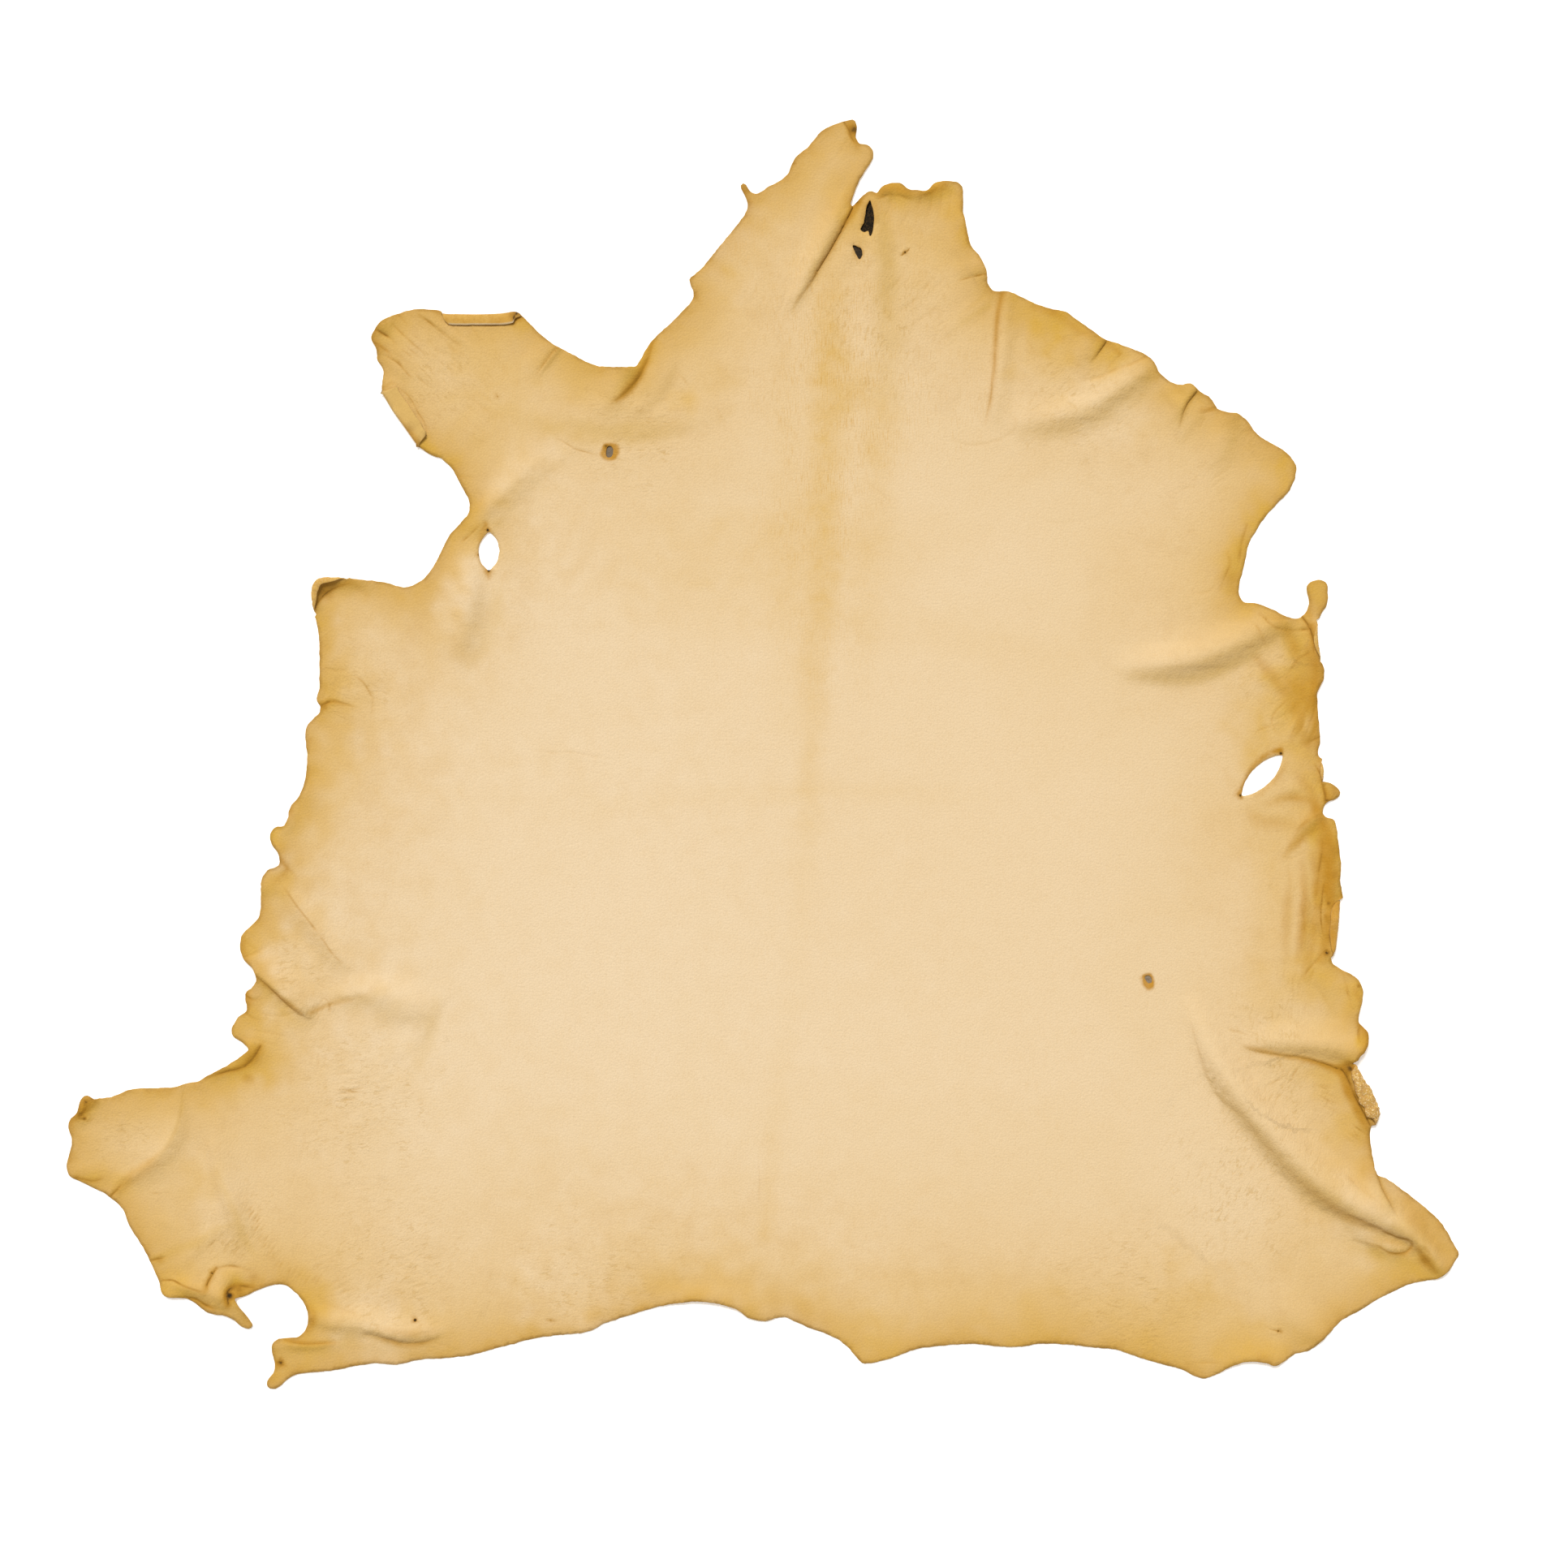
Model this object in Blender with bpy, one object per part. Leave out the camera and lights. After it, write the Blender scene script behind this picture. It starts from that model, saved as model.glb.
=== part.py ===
"""A whole tanned hide lying grain side up: one sheet of soft leather with an uneven outline and low folds."""

import math

import bmesh
import bpy
import numpy as np
from mathutils import Vector, geometry

# All sizes are in millimetres. +X runs across the hide, +Y towards the neck and +Z up.
MM = 0.001
SHEET_THICKNESS = 2.0  # measured square to the leather
EDGE_STEP = 10.5  # longest straight piece of the outline
HOLE_STEP = 6.0  # longest straight piece of a hole's rim
FOLD_STEP = 9.5  # spacing of mesh rows along a fold
FINE_STEP = 9.0  # mesh spacing beside folds and edges
COARSE_STEP = 46.0  # mesh spacing on the flat field
COARSENING = 0.44  # growth of the spacing per millimetre away from a fold
EDGE_COARSENING = 0.62  # growth of the spacing per millimetre away from the rim
RIM_CLEARANCE = 0.62  # least distance from an inner point to the rim, as a share of FINE_STEP
ROW_CLEARANCE = 0.47  # least distance between points of the fold rows, as a share of FINE_STEP
HEM_LIP = 1.1  # run of the step at the side of a turned-over hem
FOLD_ROWS = (-1.0, -0.72, -0.45, -0.2, 0.0, 0.2, 0.45, 0.72, 1.0)  # shares of a fold's half-width
MOST_SLOPE_GAIN = 1.45  # cap on the upright thickness over a steep slope

# The outline, clockwise from the left of the neck. Each row is one point: x, y.
NECK_LEFT = (
    (-82, 400), (-64, 420), (-65, 431), (-67, 438), (-56, 448), (-42, 465), (-26, 485), (-16, 498),
    (-13, 506), (-15, 514), (-20, 524), (-17, 526), (-11, 518), (-4, 517), (5, 523), (15, 528),
    (24, 536), (28, 545), (31, 551), (42, 560), (54, 574), (64, 580), (76, 584), (84, 585),
    (86, 577), (85, 569), (89, 563), (96, 562), (101, 557), (101, 551), (95, 541), (87, 527),
    (82, 514), (80, 508), (83, 505),
)
NECK_RIGHT = (
    (90, 512), (99, 519), (106, 517), (110, 523), (118, 526), (127, 526), (133, 521), (152, 519),
    (158, 526), (169, 528), (180, 527), (184, 522), (184, 503), (187, 486), (191, 470), (199, 460),
    (205, 448), (207, 434), (212, 427), (226, 426),
)
SHOULDER_RIGHT = (
    (239, 421), (254, 414), (268, 410), (279, 408), (290, 400), (303, 391), (314, 383), (334, 376),
    (353, 368), (360, 362), (365, 353), (376, 343), (387, 340), (395, 341), (402, 335), (413, 328),
    (419, 319), (427, 315), (439, 313), (447, 307), (456, 295), (470, 286), (484, 277), (492, 265),
    (491, 256), (484, 242), (466, 223), (455, 207), (448, 194), (444, 174), (440, 160), (439, 148),
    (443, 140), (457, 138), (472, 132), (483, 126), (492, 124), (500, 128), (505, 138), (503, 153),
    (506, 158), (514, 160), (520, 157), (521, 148), (520, 138), (514, 128), (511, 119),
)
FLANK_RIGHT = (
    (511, 106), (513, 91), (517, 78), (517, 70), (514, 63), (511, 57), (512, 35), (514, 14),
    (512, 2), (513, -3), (517, -6), (516, -17), (518, -25), (526, -29), (532, -35), (530, -40),
    (521, -44), (517, -49), (516, -55), (520, -59), (527, -62), (529, -69), (530, -80), (532, -93),
    (533, -105), (532, -118), (535, -135), (532, -145), (530, -153), (530, -170), (529, -180),
    (525, -188), (525, -193), (531, -198), (542, -204), (549, -209), (553, -218), (553, -226),
    (550, -238), (549, -247), (554, -253), (558, -258), (558, -265), (555, -273), (549, -280),
    (547, -286), (549, -295), (553, -306), (560, -315), (565, -322), (568, -333), (561, -343),
    (560, -351), (562, -370), (565, -386), (568, -390),
)
HIND_LEG_RIGHT = (
    (574, -392), (586, -400), (608, -417), (626, -434), (638, -454), (642, -462), (630, -479),
    (622, -484), (600, -488), (582, -496), (564, -505), (550, -514), (535, -522), (526, -531),
    (516, -541), (505, -550), (492, -553), (484, -558), (473, -564), (466, -562), (450, -560),
    (434, -564), (417, -573), (408, -576), (399, -574), (388, -568),
)
RUMP = (
    (366, -562), (346, -556), (329, -550), (311, -548), (287, -545), (257, -544), (234, -547),
    (214, -546), (193, -544), (164, -546), (145, -548), (132, -552), (117, -558), (97, -562),
    (91, -561), (84, -553), (73, -542), (59, -535), (40, -528), (22, -520), (13, -520), (7, -522),
    (-2, -523), (-13, -520), (-21, -514), (-32, -509), (-51, -505), (-68, -505), (-94, -509),
    (-122, -517), (-148, -526), (-163, -533), (-205, -538), (-238, -546), (-268, -554), (-291, -557),
    (-320, -559), (-337, -563), (-360, -562), (-379, -565), (-401, -569), (-429, -572), (-441, -578),
    (-449, -585), (-456, -585), (-457, -580), (-451, -571), (-450, -563), (-452, -554), (-452, -545),
    (-447, -541), (-429, -539), (-421, -530), (-419, -519), (-423, -507), (-431, -497), (-441, -490),
    (-450, -489), (-463, -493), (-477, -499), (-488, -503), (-485, -509), (-478, -518), (-472, -528),
    (-476, -530), (-482, -527), (-489, -521), (-497, -518), (-513, -515), (-523, -507), (-532, -502),
    (-549, -501), (-554, -498),
)
HIND_LEG_LEFT = (
    (-557, -487), (-565, -469), (-572, -455), (-585, -435), (-590, -421), (-602, -409), (-620, -399),
    (-640, -389), (-642, -382), (-641, -373), (-638, -362), (-638, -355), (-641, -344), (-639, -338),
    (-632, -331), (-629, -320), (-624, -316), (-617, -319), (-604, -318), (-592, -314), (-580, -310),
    (-547, -309), (-532, -305), (-521, -303), (-513, -298), (-499, -291), (-483, -281), (-474, -272),
)
FLANK_LEFT = (
    (-480, -266), (-489, -260), (-490, -254), (-483, -243), (-476, -237), (-477, -227), (-476, -220),
    (-469, -214), (-467, -207), (-469, -199), (-479, -189), (-482, -178), (-481, -169), (-473, -160),
    (-465, -151), (-463, -139), (-462, -116), (-457, -108), (-446, -103), (-447, -91), (-453, -83),
    (-454, -74), (-449, -68), (-442, -67), (-438, -60), (-436, -50), (-427, -38), (-422, -23),
    (-420, -2), (-422, 18), (-420, 26), (-409, 38), (-408, 44), (-411, 50), (-409, 60), (-409, 100),
    (-411, 118), (-415, 136), (-415, 154), (-411, 160), (-402, 161), (-388, 162), (-370, 160),
    (-346, 157), (-331, 153), (-319, 157), (-309, 165), (-300, 179), (-294, 192), (-286, 205),
    (-272, 220), (-270, 228), (-271, 236),
)
FORELEG_LEFT = (
    (-280, 252), (-288, 266), (-296, 273), (-308, 278), (-322, 288), (-329, 295), (-333, 306),
    (-342, 318), (-350, 330), (-351, 338), (-350, 355), (-355, 364), (-356, 374), (-361, 383),
    (-359, 389), (-350, 400), (-336, 406), (-320, 410), (-301, 409), (-294, 407), (-286, 405),
    (-262, 404), (-238, 406), (-229, 408), (-222, 403), (-208, 389), (-193, 377), (-176, 368),
    (-160, 360), (-148, 357), (-128, 356), (-117, 357), (-113, 362), (-107, 374), (-98, 385),
)
OUTLINE = NECK_LEFT + NECK_RIGHT + SHOULDER_RIGHT + FLANK_RIGHT + HIND_LEG_RIGHT + RUMP + HIND_LEG_LEFT
OUTLINE = OUTLINE + FLANK_LEFT + FORELEG_LEFT

# Natural holes. Each row is one oval: centre x, centre y, half-length, half-width, lie in degrees
# and how pointed its ends are, from 1 for round to 2 for sharp.
HOLES = (
    (-253, 187, 17.8, 9.9, 88, 1.5),  # left armpit
    (461, -20, 26.6, 9.6, 45, 1.6),  # right flank
    (98, 498, 15.5, 4.8, 76, 1.0),  # beside the neck slit
    (88, 463, 5.8, 4.0, 115, 1.0),  # below the neck slit
    (-140, 278, 6.8, 5.8, 30, 1.0),  # left shoulder
    (355, -209, 8.2, 5.4, 105, 1.0),  # right thigh
)

# Folds: a name and its crest. Each row is x, y, height, reach to the left and reach to the right
# of the crest, walking down the table. A short reach is a steep side.
FOLDS = {
    "right thigh ridge": (
        (392, -222, 0, 14, 10),
        (403, -252, 5, 18, 12),
        (424, -297, 10, 24, 15),
        (465, -348, 12, 27, 17),
        (514, -398, 13, 30, 19),
        (566, -430, 13, 28, 13),
        (593, -442, 12, 20, 10),
        (608, -455, 10, 14, 9),
        (626, -477, 6, 12, 11),
    ),
    "right thigh finger": (
        (540, -432, 3, 8, 11),
        (560, -446, 6, 7, 10),
        (578, -456, 6, 7, 9),
        (592, -462, 2, 6, 6),
    ),
    "right hip ridge": (
        (440, -268, 0, 14, 5),
        (472, -269, 5, 22, 6),
        (502, -271, 7, 26, 7),
        (532, -275, 9, 28, 8),
        (552, -279, 9, 28, 8),
    ),
    "right thigh flap": (
        (561, -384, 4, 7, 20),
        (570, -404, 5, 6, 20),
        (577, -418, 3, 6, 16),
    ),
    "right foreleg ridge": (
        (322, 77, 0, 18, 8),
        (352, 79, 4, 23, 10),
        (390, 84, 8, 27, 13),
        (425, 95, 8, 26, 13),
        (456, 111, 6, 20, 12),
        (484, 122, 3, 10, 12),
    ),
    "right shoulder ridge": (
        (222, 304, 0, 20, 10),
        (265, 308, 4, 22, 12),
        (300, 318, 5, 22, 12),
        (328, 337, 6, 20, 11),
        (352, 356, 5, 14, 9),
    ),
    "right shoulder crease": (
        (224, 424, 4, 10, 5),
        (221, 383, 4, 12, 5),
        (215, 330, 3, 12, 5),
        (212, 300, 0, 10, 5),
    ),
    "right shoulder ripple": (
        (306, 391, 4, 12, 9),
        (294, 371, 2, 12, 8),
        (284, 352, 0, 10, 6),
    ),
    "right foreleg ripple": (
        (391, 340, 5, 12, 7),
        (382, 322, 3, 12, 7),
        (371, 300, 0, 10, 6),
    ),
    "right foreleg swell": (
        (430, 310, 4, 16, 12),
        (424, 286, 3, 16, 12),
        (412, 262, 0, 14, 10),
    ),
    "neck pleat": (
        (75, 508, 5, 5, 12),
        (62, 480, 7, 5, 14),
        (46, 450, 6, 5, 14),
        (33, 424, 3, 5, 12),
        (27, 410, 0, 4, 10),
    ),
    "neck swell": (
        (100, 508, 4, 12, 14),
        (104, 480, 4, 16, 15),
        (106, 450, 3, 18, 16),
        (103, 410, 0, 16, 14),
    ),
    "neck rim": (
        (110, 523, 4, 2, 10),
        (130, 522, 5, 2, 11),
        (150, 520, 5, 2, 11),
        (166, 527, 4, 2, 12),
    ),
    "neck corner": (
        (184, 500, 3, 3, 12),
        (190, 466, 4, 4, 12),
        (206, 436, 3, 4, 10),
    ),
    "left shoulder pucker": (
        (-119, 357, 8, 11, 18),
        (-128, 342, 6, 12, 18),
        (-142, 325, 3, 12, 16),
        (-156, 314, 0, 8, 12),
    ),
    "left shoulder nick": (
        (-196, 378, 3, 10, 5),
        (-205, 365, 2, 10, 5),
        (-214, 350, 0, 8, 4),
    ),
    "left foreleg ridge": (
        (-262, 216, 3, 10, 9),
        (-250, 229, 5, 12, 9),
        (-229, 250, 5, 13, 9),
        (-206, 270, 2, 12, 8),
        (-192, 280, 0, 10, 8),
    ),
    "left foreleg hem": (
        (-346, 336, 4, 5, 11),
        (-337, 326, 4, 5, 11),
        (-326, 307, 5, 5, 12),
        (-318, 291, 4, 5, 11),
    ),
    "left paw rim": (
        (-356, 374, 3, 12, 3),
        (-357, 392, 5, 13, 3),
        (-340, 404, 4, 12, 3),
    ),
    "left elbow curl": (
        (-414, 134, 3, 13, 3),
        (-413, 156, 8, 16, 3),
        (-396, 160, 6, 14, 3),
        (-366, 158, 2, 12, 3),
    ),
    "left armpit swell": (
        (-276, 186, 2, 14, 20),
        (-270, 150, 6, 14, 28),
        (-276, 112, 4, 14, 26),
        (-288, 86, 0, 12, 20),
    ),
    "left belly crease": (
        (-441, -124, 3, 6, 16),
        (-415, -158, 4, 6, 17),
        (-396, -183, 3, 6, 15),
        (-378, -200, 0, 5, 12),
    ),
    "left flank ridge": (
        (-467, -203, 6, 24, 6),
        (-445, -221, 7, 26, 6),
        (-426, -237, 5, 24, 6),
        (-414, -243, 0, 14, 5),
    ),
    "left flank swell": (
        (-404, -226, 0, 16, 12),
        (-366, -222, 4, 18, 14),
        (-330, -232, 5, 26, 18),
        (-306, -246, 0, 22, 16),
    ),
    "left leg root": (
        (-475, -272, 5, 16, 8),
        (-497, -286, 3, 16, 9),
        (-520, -299, 1, 12, 8),
    ),
    "left hock crease": (
        (-541, -312, 3, 14, 6),
        (-541, -338, 4, 14, 6),
        (-552, -363, 5, 15, 6),
        (-571, -382, 4, 14, 6),
        (-594, -394, 0, 10, 5),
    ),
    "left thigh ridge": (
        (-524, -308, 3, 16, 8),
        (-512, -340, 5, 18, 9),
        (-500, -390, 6, 20, 10),
        (-490, -424, 6, 18, 9),
        (-480, -456, 0, 14, 7),
    ),
    "left hoof curl": (
        (-632, -332, 3, 3, 11),
        (-626, -317, 6, 3, 13),
        (-610, -319, 3, 3, 11),
    ),
    "left leg pucker": (
        (-551, -499, 4, 10, 8),
        (-532, -494, 5, 12, 8),
        (-510, -500, 6, 12, 8),
        (-492, -506, 7, 10, 8),
        (-479, -520, 5, 8, 7),
    ),
    "left leg ripple": (
        (-504, -470, 0, 10, 7),
        (-504, -484, 4, 12, 7),
        (-500, -498, 3, 12, 7),
    ),
    "left rump fold": (
        (-419, -519, 4, 14, 6),
        (-398, -527, 6, 18, 6),
        (-364, -530, 7, 20, 6),
        (-337, -537, 7, 20, 6),
        (-304, -536, 3, 16, 6),
        (-280, -532, 0, 12, 6),
    ),
    "left rump tail": (
        (-452, -548, 4, 8, 7),
        (-440, -544, 4, 3, 9),
        (-410, -545, 2, 4, 9),
    ),
    "tail root edge": (
        (-6, -520, 4, 3, 16),
        (-32, -508, 5, 3, 18),
        (-68, -505, 4, 3, 18),
        (-104, -511, 0, 3, 14),
    ),
    "right rump edge": (
        (473, -562, 5, 4, 16),
        (452, -560, 5, 3, 18),
        (430, -565, 3, 3, 14),
        (406, -575, 0, 3, 10),
    ),
    "right rump swell": (
        (515, -541, 3, 8, 14),
        (492, -520, 4, 16, 18),
        (470, -498, 0, 16, 18),
    ),
    "right flank roll": (
        (528, -72, 4, 3, 12),
        (530, -100, 6, 3, 13),
        (531, -130, 7, 3, 12),
        (528, -160, 7, 3, 12),
        (526, -188, 4, 3, 10),
    ),
    "right armpit roll": (
        (513, 120, 4, 3, 14),
        (512, 100, 5, 3, 14),
        (516, 76, 4, 3, 14),
        (511, 50, 2, 3, 12),
    ),
    "right hip roll": (
        (543, -286, 6, 8, 10),
        (549, -308, 7, 9, 10),
        (560, -332, 6, 7, 10),
        (562, -345, 3, 4, 8),
    ),
    "right hip curl": (
        (546, -208, 4, 4, 12),
        (551, -226, 5, 3, 13),
        (548, -246, 3, 3, 12),
    ),
    "right belly crease": (
        (492, -76, 0, 9, 6),
        (503, -63, 3, 10, 6),
        (519, -56, 3, 8, 6),
    ),
    "left belly scallop": (
        (-421, -30, 3, 13, 3),
        (-437, -58, 4, 13, 3),
        (-452, -78, 5, 13, 3),
        (-446, -98, 3, 13, 3),
        (-461, -120, 4, 13, 3),
    ),
}

# Strips of the edge turned over flat on the grain side. Each row is x, y, half-width.
HEMS = {
    "left foreleg top": ((-292, 401, 4.2), (-262, 399, 4.8), (-236, 401, 4.6)),
    "left foreleg side": ((-343, 331, 3.6), (-334, 318, 4.4), (-325, 303, 4.6), (-317, 292, 3.6)),
}

LEATHER = {"colour": (0.80, 0.62, 0.36, 1.0), "roughness": 0.62, "metallic": 0.0}


def clear_scene():
    for leftover in list(bpy.data.objects):
        bpy.data.objects.remove(leftover, do_unlink=True)


def curve_point(before, start, end, after, share):
    """A point on the smooth curve between start and end, a Catmull-Rom span."""
    bend = 2.0 * before - 5.0 * start + 4.0 * end - after
    turn = 3.0 * (start - end) + after - before
    return start + 0.5 * share * ((end - before) + share * (bend + share * turn))


def smooth_loop(rows, step):
    """A closed smooth curve through the rows, in pieces no longer than step."""
    points = np.array(rows, float)
    made = []
    count = len(points)
    for index in range(count):
        around = [points[(index + shift) % count] for shift in (-1, 0, 1, 2)]
        length = np.linalg.norm(around[2] - around[1])
        pieces = max(1, math.ceil(length / step - 0.05))
        made += [curve_point(*around, piece / pieces) for piece in range(pieces)]
    return np.array(made)


def smooth_path(rows, step):
    """An open smooth curve through the rows; columns past x and y are carried along."""
    points = np.array(rows, float)
    ends = np.vstack([2 * points[0] - points[1], points, 2 * points[-1] - points[-2]])
    made = []
    for index in range(1, len(points)):
        around = ends[index - 1 : index + 3]
        length = np.linalg.norm(around[2, :2] - around[1, :2])
        pieces = max(1, round(length / step))
        made += [curve_point(*around, piece / pieces) for piece in range(pieces)]
    made.append(points[-1])
    made = np.array(made)
    made[:, 2:] = np.maximum(made[:, 2:], 0.0)
    return made


def hole_loop(row):
    """The rim of one oval hole."""
    x, y, half_length, half_width, lie, point = row
    around = 2 * math.pi * math.sqrt((half_length**2 + half_width**2) / 2)
    count = max(9, math.ceil(around / HOLE_STEP))
    turn = math.radians(lie)
    rim = []
    for index in range(count):
        angle = 2 * math.pi * index / count
        along = half_length * math.cos(angle)
        across = half_width * math.copysign(abs(math.sin(angle)) ** point, math.sin(angle))
        rim.append((x + along * math.cos(turn) - across * math.sin(turn),
                    y + along * math.sin(turn) + across * math.cos(turn)))
    return np.array(rim)


def inside(points, loop):
    """Which points lie inside a closed loop."""
    found = np.zeros(len(points), bool)
    starts = loop
    ends = np.roll(loop, -1, axis=0)
    for (x0, y0), (x1, y1) in zip(starts, ends):
        crosses = (y0 > points[:, 1]) != (y1 > points[:, 1])
        if crosses.any():
            at_x = x0 + (points[:, 1] - y0) * (x1 - x0) / (y1 - y0 if y1 != y0 else 1.0)
            found ^= crosses & (points[:, 0] < at_x)
    return found


def nearest(points, starts, ends):
    """For each point: distance to the nearest piece, its index, the share along it and the side."""
    runs = ends - starts
    squares = np.maximum((runs**2).sum(axis=1), 1e-9)
    best = np.full(len(points), 1e9)
    which = np.zeros(len(points), int)
    share = np.zeros(len(points))
    side = np.zeros(len(points))
    for index in range(len(starts)):
        away = points - starts[index]
        along = np.clip(away @ runs[index] / squares[index], 0.0, 1.0)
        gap = np.linalg.norm(away - along[:, None] * runs[index], axis=1)
        nearer = gap < best - 1e-9
        best[nearer] = gap[nearer]
        which[nearer] = index
        share[nearer] = along[nearer]
        turned = runs[index, 0] * away[:, 1] - runs[index, 1] * away[:, 0]
        side[nearer] = np.sign(turned[nearer])
    return best, which, share, side


def bump(share):
    """One at the crest and level, falling to zero and level at a share of one."""
    clipped = np.clip(share, 0.0, 1.0)
    return (1.0 - clipped**2) ** 2


def sheet_height(points):
    """Height of the underside above the ground at each point."""
    total = np.zeros(len(points))
    for rows in FOLDS.values():
        path = smooth_path(rows, FOLD_STEP)
        gap, which, share, side = nearest(points, path[:-1, :2], path[1:, :2])
        here = path[which] * (1 - share[:, None]) + path[which + 1] * share[:, None]
        reach = np.where(side >= 0, here[:, 3], here[:, 4])
        total = np.maximum(total, 0.0) + here[:, 2] * bump(gap / np.maximum(reach, 1.0))
    return total


def hem_thickness(points):
    """Extra thickness where a strip of the edge is turned over."""
    extra = np.zeros(len(points))
    for rows in HEMS.values():
        path = smooth_path(rows, FOLD_STEP)
        gap, which, share, _ = nearest(points, path[:-1, :2], path[1:, :2])
        half = path[which, 2] * (1 - share) + path[which + 1, 2] * share
        flat = np.clip((half + HEM_LIP - gap) / HEM_LIP, 0.0, 1.0)
        extra = np.maximum(extra, SHEET_THICKNESS * flat)
    return extra


def fold_points():
    """Mesh points in rows along every fold and hem, so that crests and feet follow mesh edges."""
    made = []
    for rows in FOLDS.values():
        path = smooth_path(rows, FOLD_STEP)
        run = np.gradient(path[:, :2], axis=0)
        run /= np.linalg.norm(run, axis=1)[:, None]
        left = np.column_stack([-run[:, 1], run[:, 0]])
        for row in sorted(FOLD_ROWS, key=abs):
            reach = path[:, 3] if row > 0 else path[:, 4]
            made.append(path[:, :2] + left * (row * reach)[:, None])
    for rows in HEMS.values():
        path = smooth_path(rows, FOLD_STEP)
        run = np.gradient(path[:, :2], axis=0)
        run /= np.linalg.norm(run, axis=1)[:, None]
        left = np.column_stack([-run[:, 1], run[:, 0]])
        for side in (-1, 1):
            for lip in (0.0, HEM_LIP):
                made.append(path[:, :2] + left * (side * (path[:, 2] + lip))[:, None])
    return np.vstack(made)


def inner_points(rim_starts, rim_ends, loops):
    """Every mesh point inside the rim: fold rows first, then a lattice that coarsens with distance."""
    kept = []
    cells = {}
    cell = FINE_STEP

    def far_enough(point, least):
        reach = int(math.ceil(least / cell))
        column, row = int(point[0] // cell), int(point[1] // cell)
        for i in range(column - reach, column + reach + 1):
            for j in range(row - reach, row + reach + 1):
                for other in cells.get((i, j), ()):
                    if math.hypot(point[0] - other[0], point[1] - other[1]) < least:
                        return False
        return True

    def keep(point):
        kept.append(point)
        cells.setdefault((int(point[0] // cell), int(point[1] // cell)), []).append(point)

    def on_leather(points):
        good = inside(points, loops[0])
        for loop in loops[1:]:
            good &= ~inside(points, loop)
        gap = nearest(points, rim_starts, rim_ends)[0]
        return good & (gap > RIM_CLEARANCE * FINE_STEP), gap

    rows = fold_points()
    good, _ = on_leather(rows)
    for point in rows[good]:
        if far_enough(point, ROW_CLEARANCE * FINE_STEP):
            keep(point)
    low = OUTLINE_BOX[0]
    high = OUTLINE_BOX[1]
    lattice = []
    for row, y in enumerate(np.arange(low[1], high[1], FINE_STEP * 0.87)):
        for x in np.arange(low[0] + (row % 2) * FINE_STEP / 2, high[0], FINE_STEP):
            lattice.append((x, y))
    lattice = np.array(lattice)
    good, rim_gap = on_leather(lattice)
    lattice, rim_gap = lattice[good], rim_gap[good]
    paths = [smooth_path(rows, FOLD_STEP) for rows in FOLDS.values()]
    fold_gap = np.full(len(lattice), 1e9)
    for path in paths:
        gap, which, share, side = nearest(lattice, path[:-1, :2], path[1:, :2])
        reach = np.where(side >= 0, path[which, 3], path[which, 4])
        fold_gap = np.minimum(fold_gap, np.maximum(gap - reach, 0.0))
    by_fold = FINE_STEP + COARSENING * fold_gap
    by_rim = 1.15 * FINE_STEP + EDGE_COARSENING * rim_gap
    spacing = np.minimum(np.minimum(by_fold, by_rim), COARSE_STEP)
    for index in np.argsort(spacing, kind="stable"):
        if far_enough(lattice[index], spacing[index]):
            keep(lattice[index])
    return np.array(kept)


def triangulate(loops, inner):
    """Triangles between the rim loops and the inner points, holes left open."""
    points = np.vstack(loops + [inner])
    edges = []
    first = 0
    for loop in loops:
        count = len(loop)
        edges += [(first + i, first + (i + 1) % count) for i in range(count)]
        first += count
    flat = [Vector((float(x), float(y))) for x, y in points]
    made = geometry.delaunay_2d_cdt(flat, edges, [], 0, 1e-4)
    corners = np.array([(v.x, v.y) for v in made[0]])
    faces = np.array([tuple(face) for face in made[2]])
    middles = corners[faces].mean(axis=1)
    good = inside(middles, loops[0])
    for loop in loops[1:]:
        good &= ~inside(middles, loop)
    faces = faces[good]
    first_run = corners[faces[:, 1]] - corners[faces[:, 0]]
    second_run = corners[faces[:, 2]] - corners[faces[:, 0]]
    turned = first_run[:, 0] * second_run[:, 1] - first_run[:, 1] * second_run[:, 0]
    faces[turned < 0] = faces[turned < 0][:, ::-1]
    return corners, faces


def slope_gain(corners, heights, faces):
    """Upright thickness over square thickness at each point, from the slope of the faces around it."""
    a, b, c = (np.column_stack([corners[faces[:, i]], heights[faces[:, i]]]) for i in range(3))
    normals = np.cross(b - a, c - a)
    summed = np.zeros((len(corners), 3))
    for i in range(3):
        np.add.at(summed, faces[:, i], normals)
    upright = summed[:, 2] / np.linalg.norm(summed, axis=1)
    return np.minimum(1.0 / np.maximum(upright, 0.1), MOST_SLOPE_GAIN)


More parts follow.
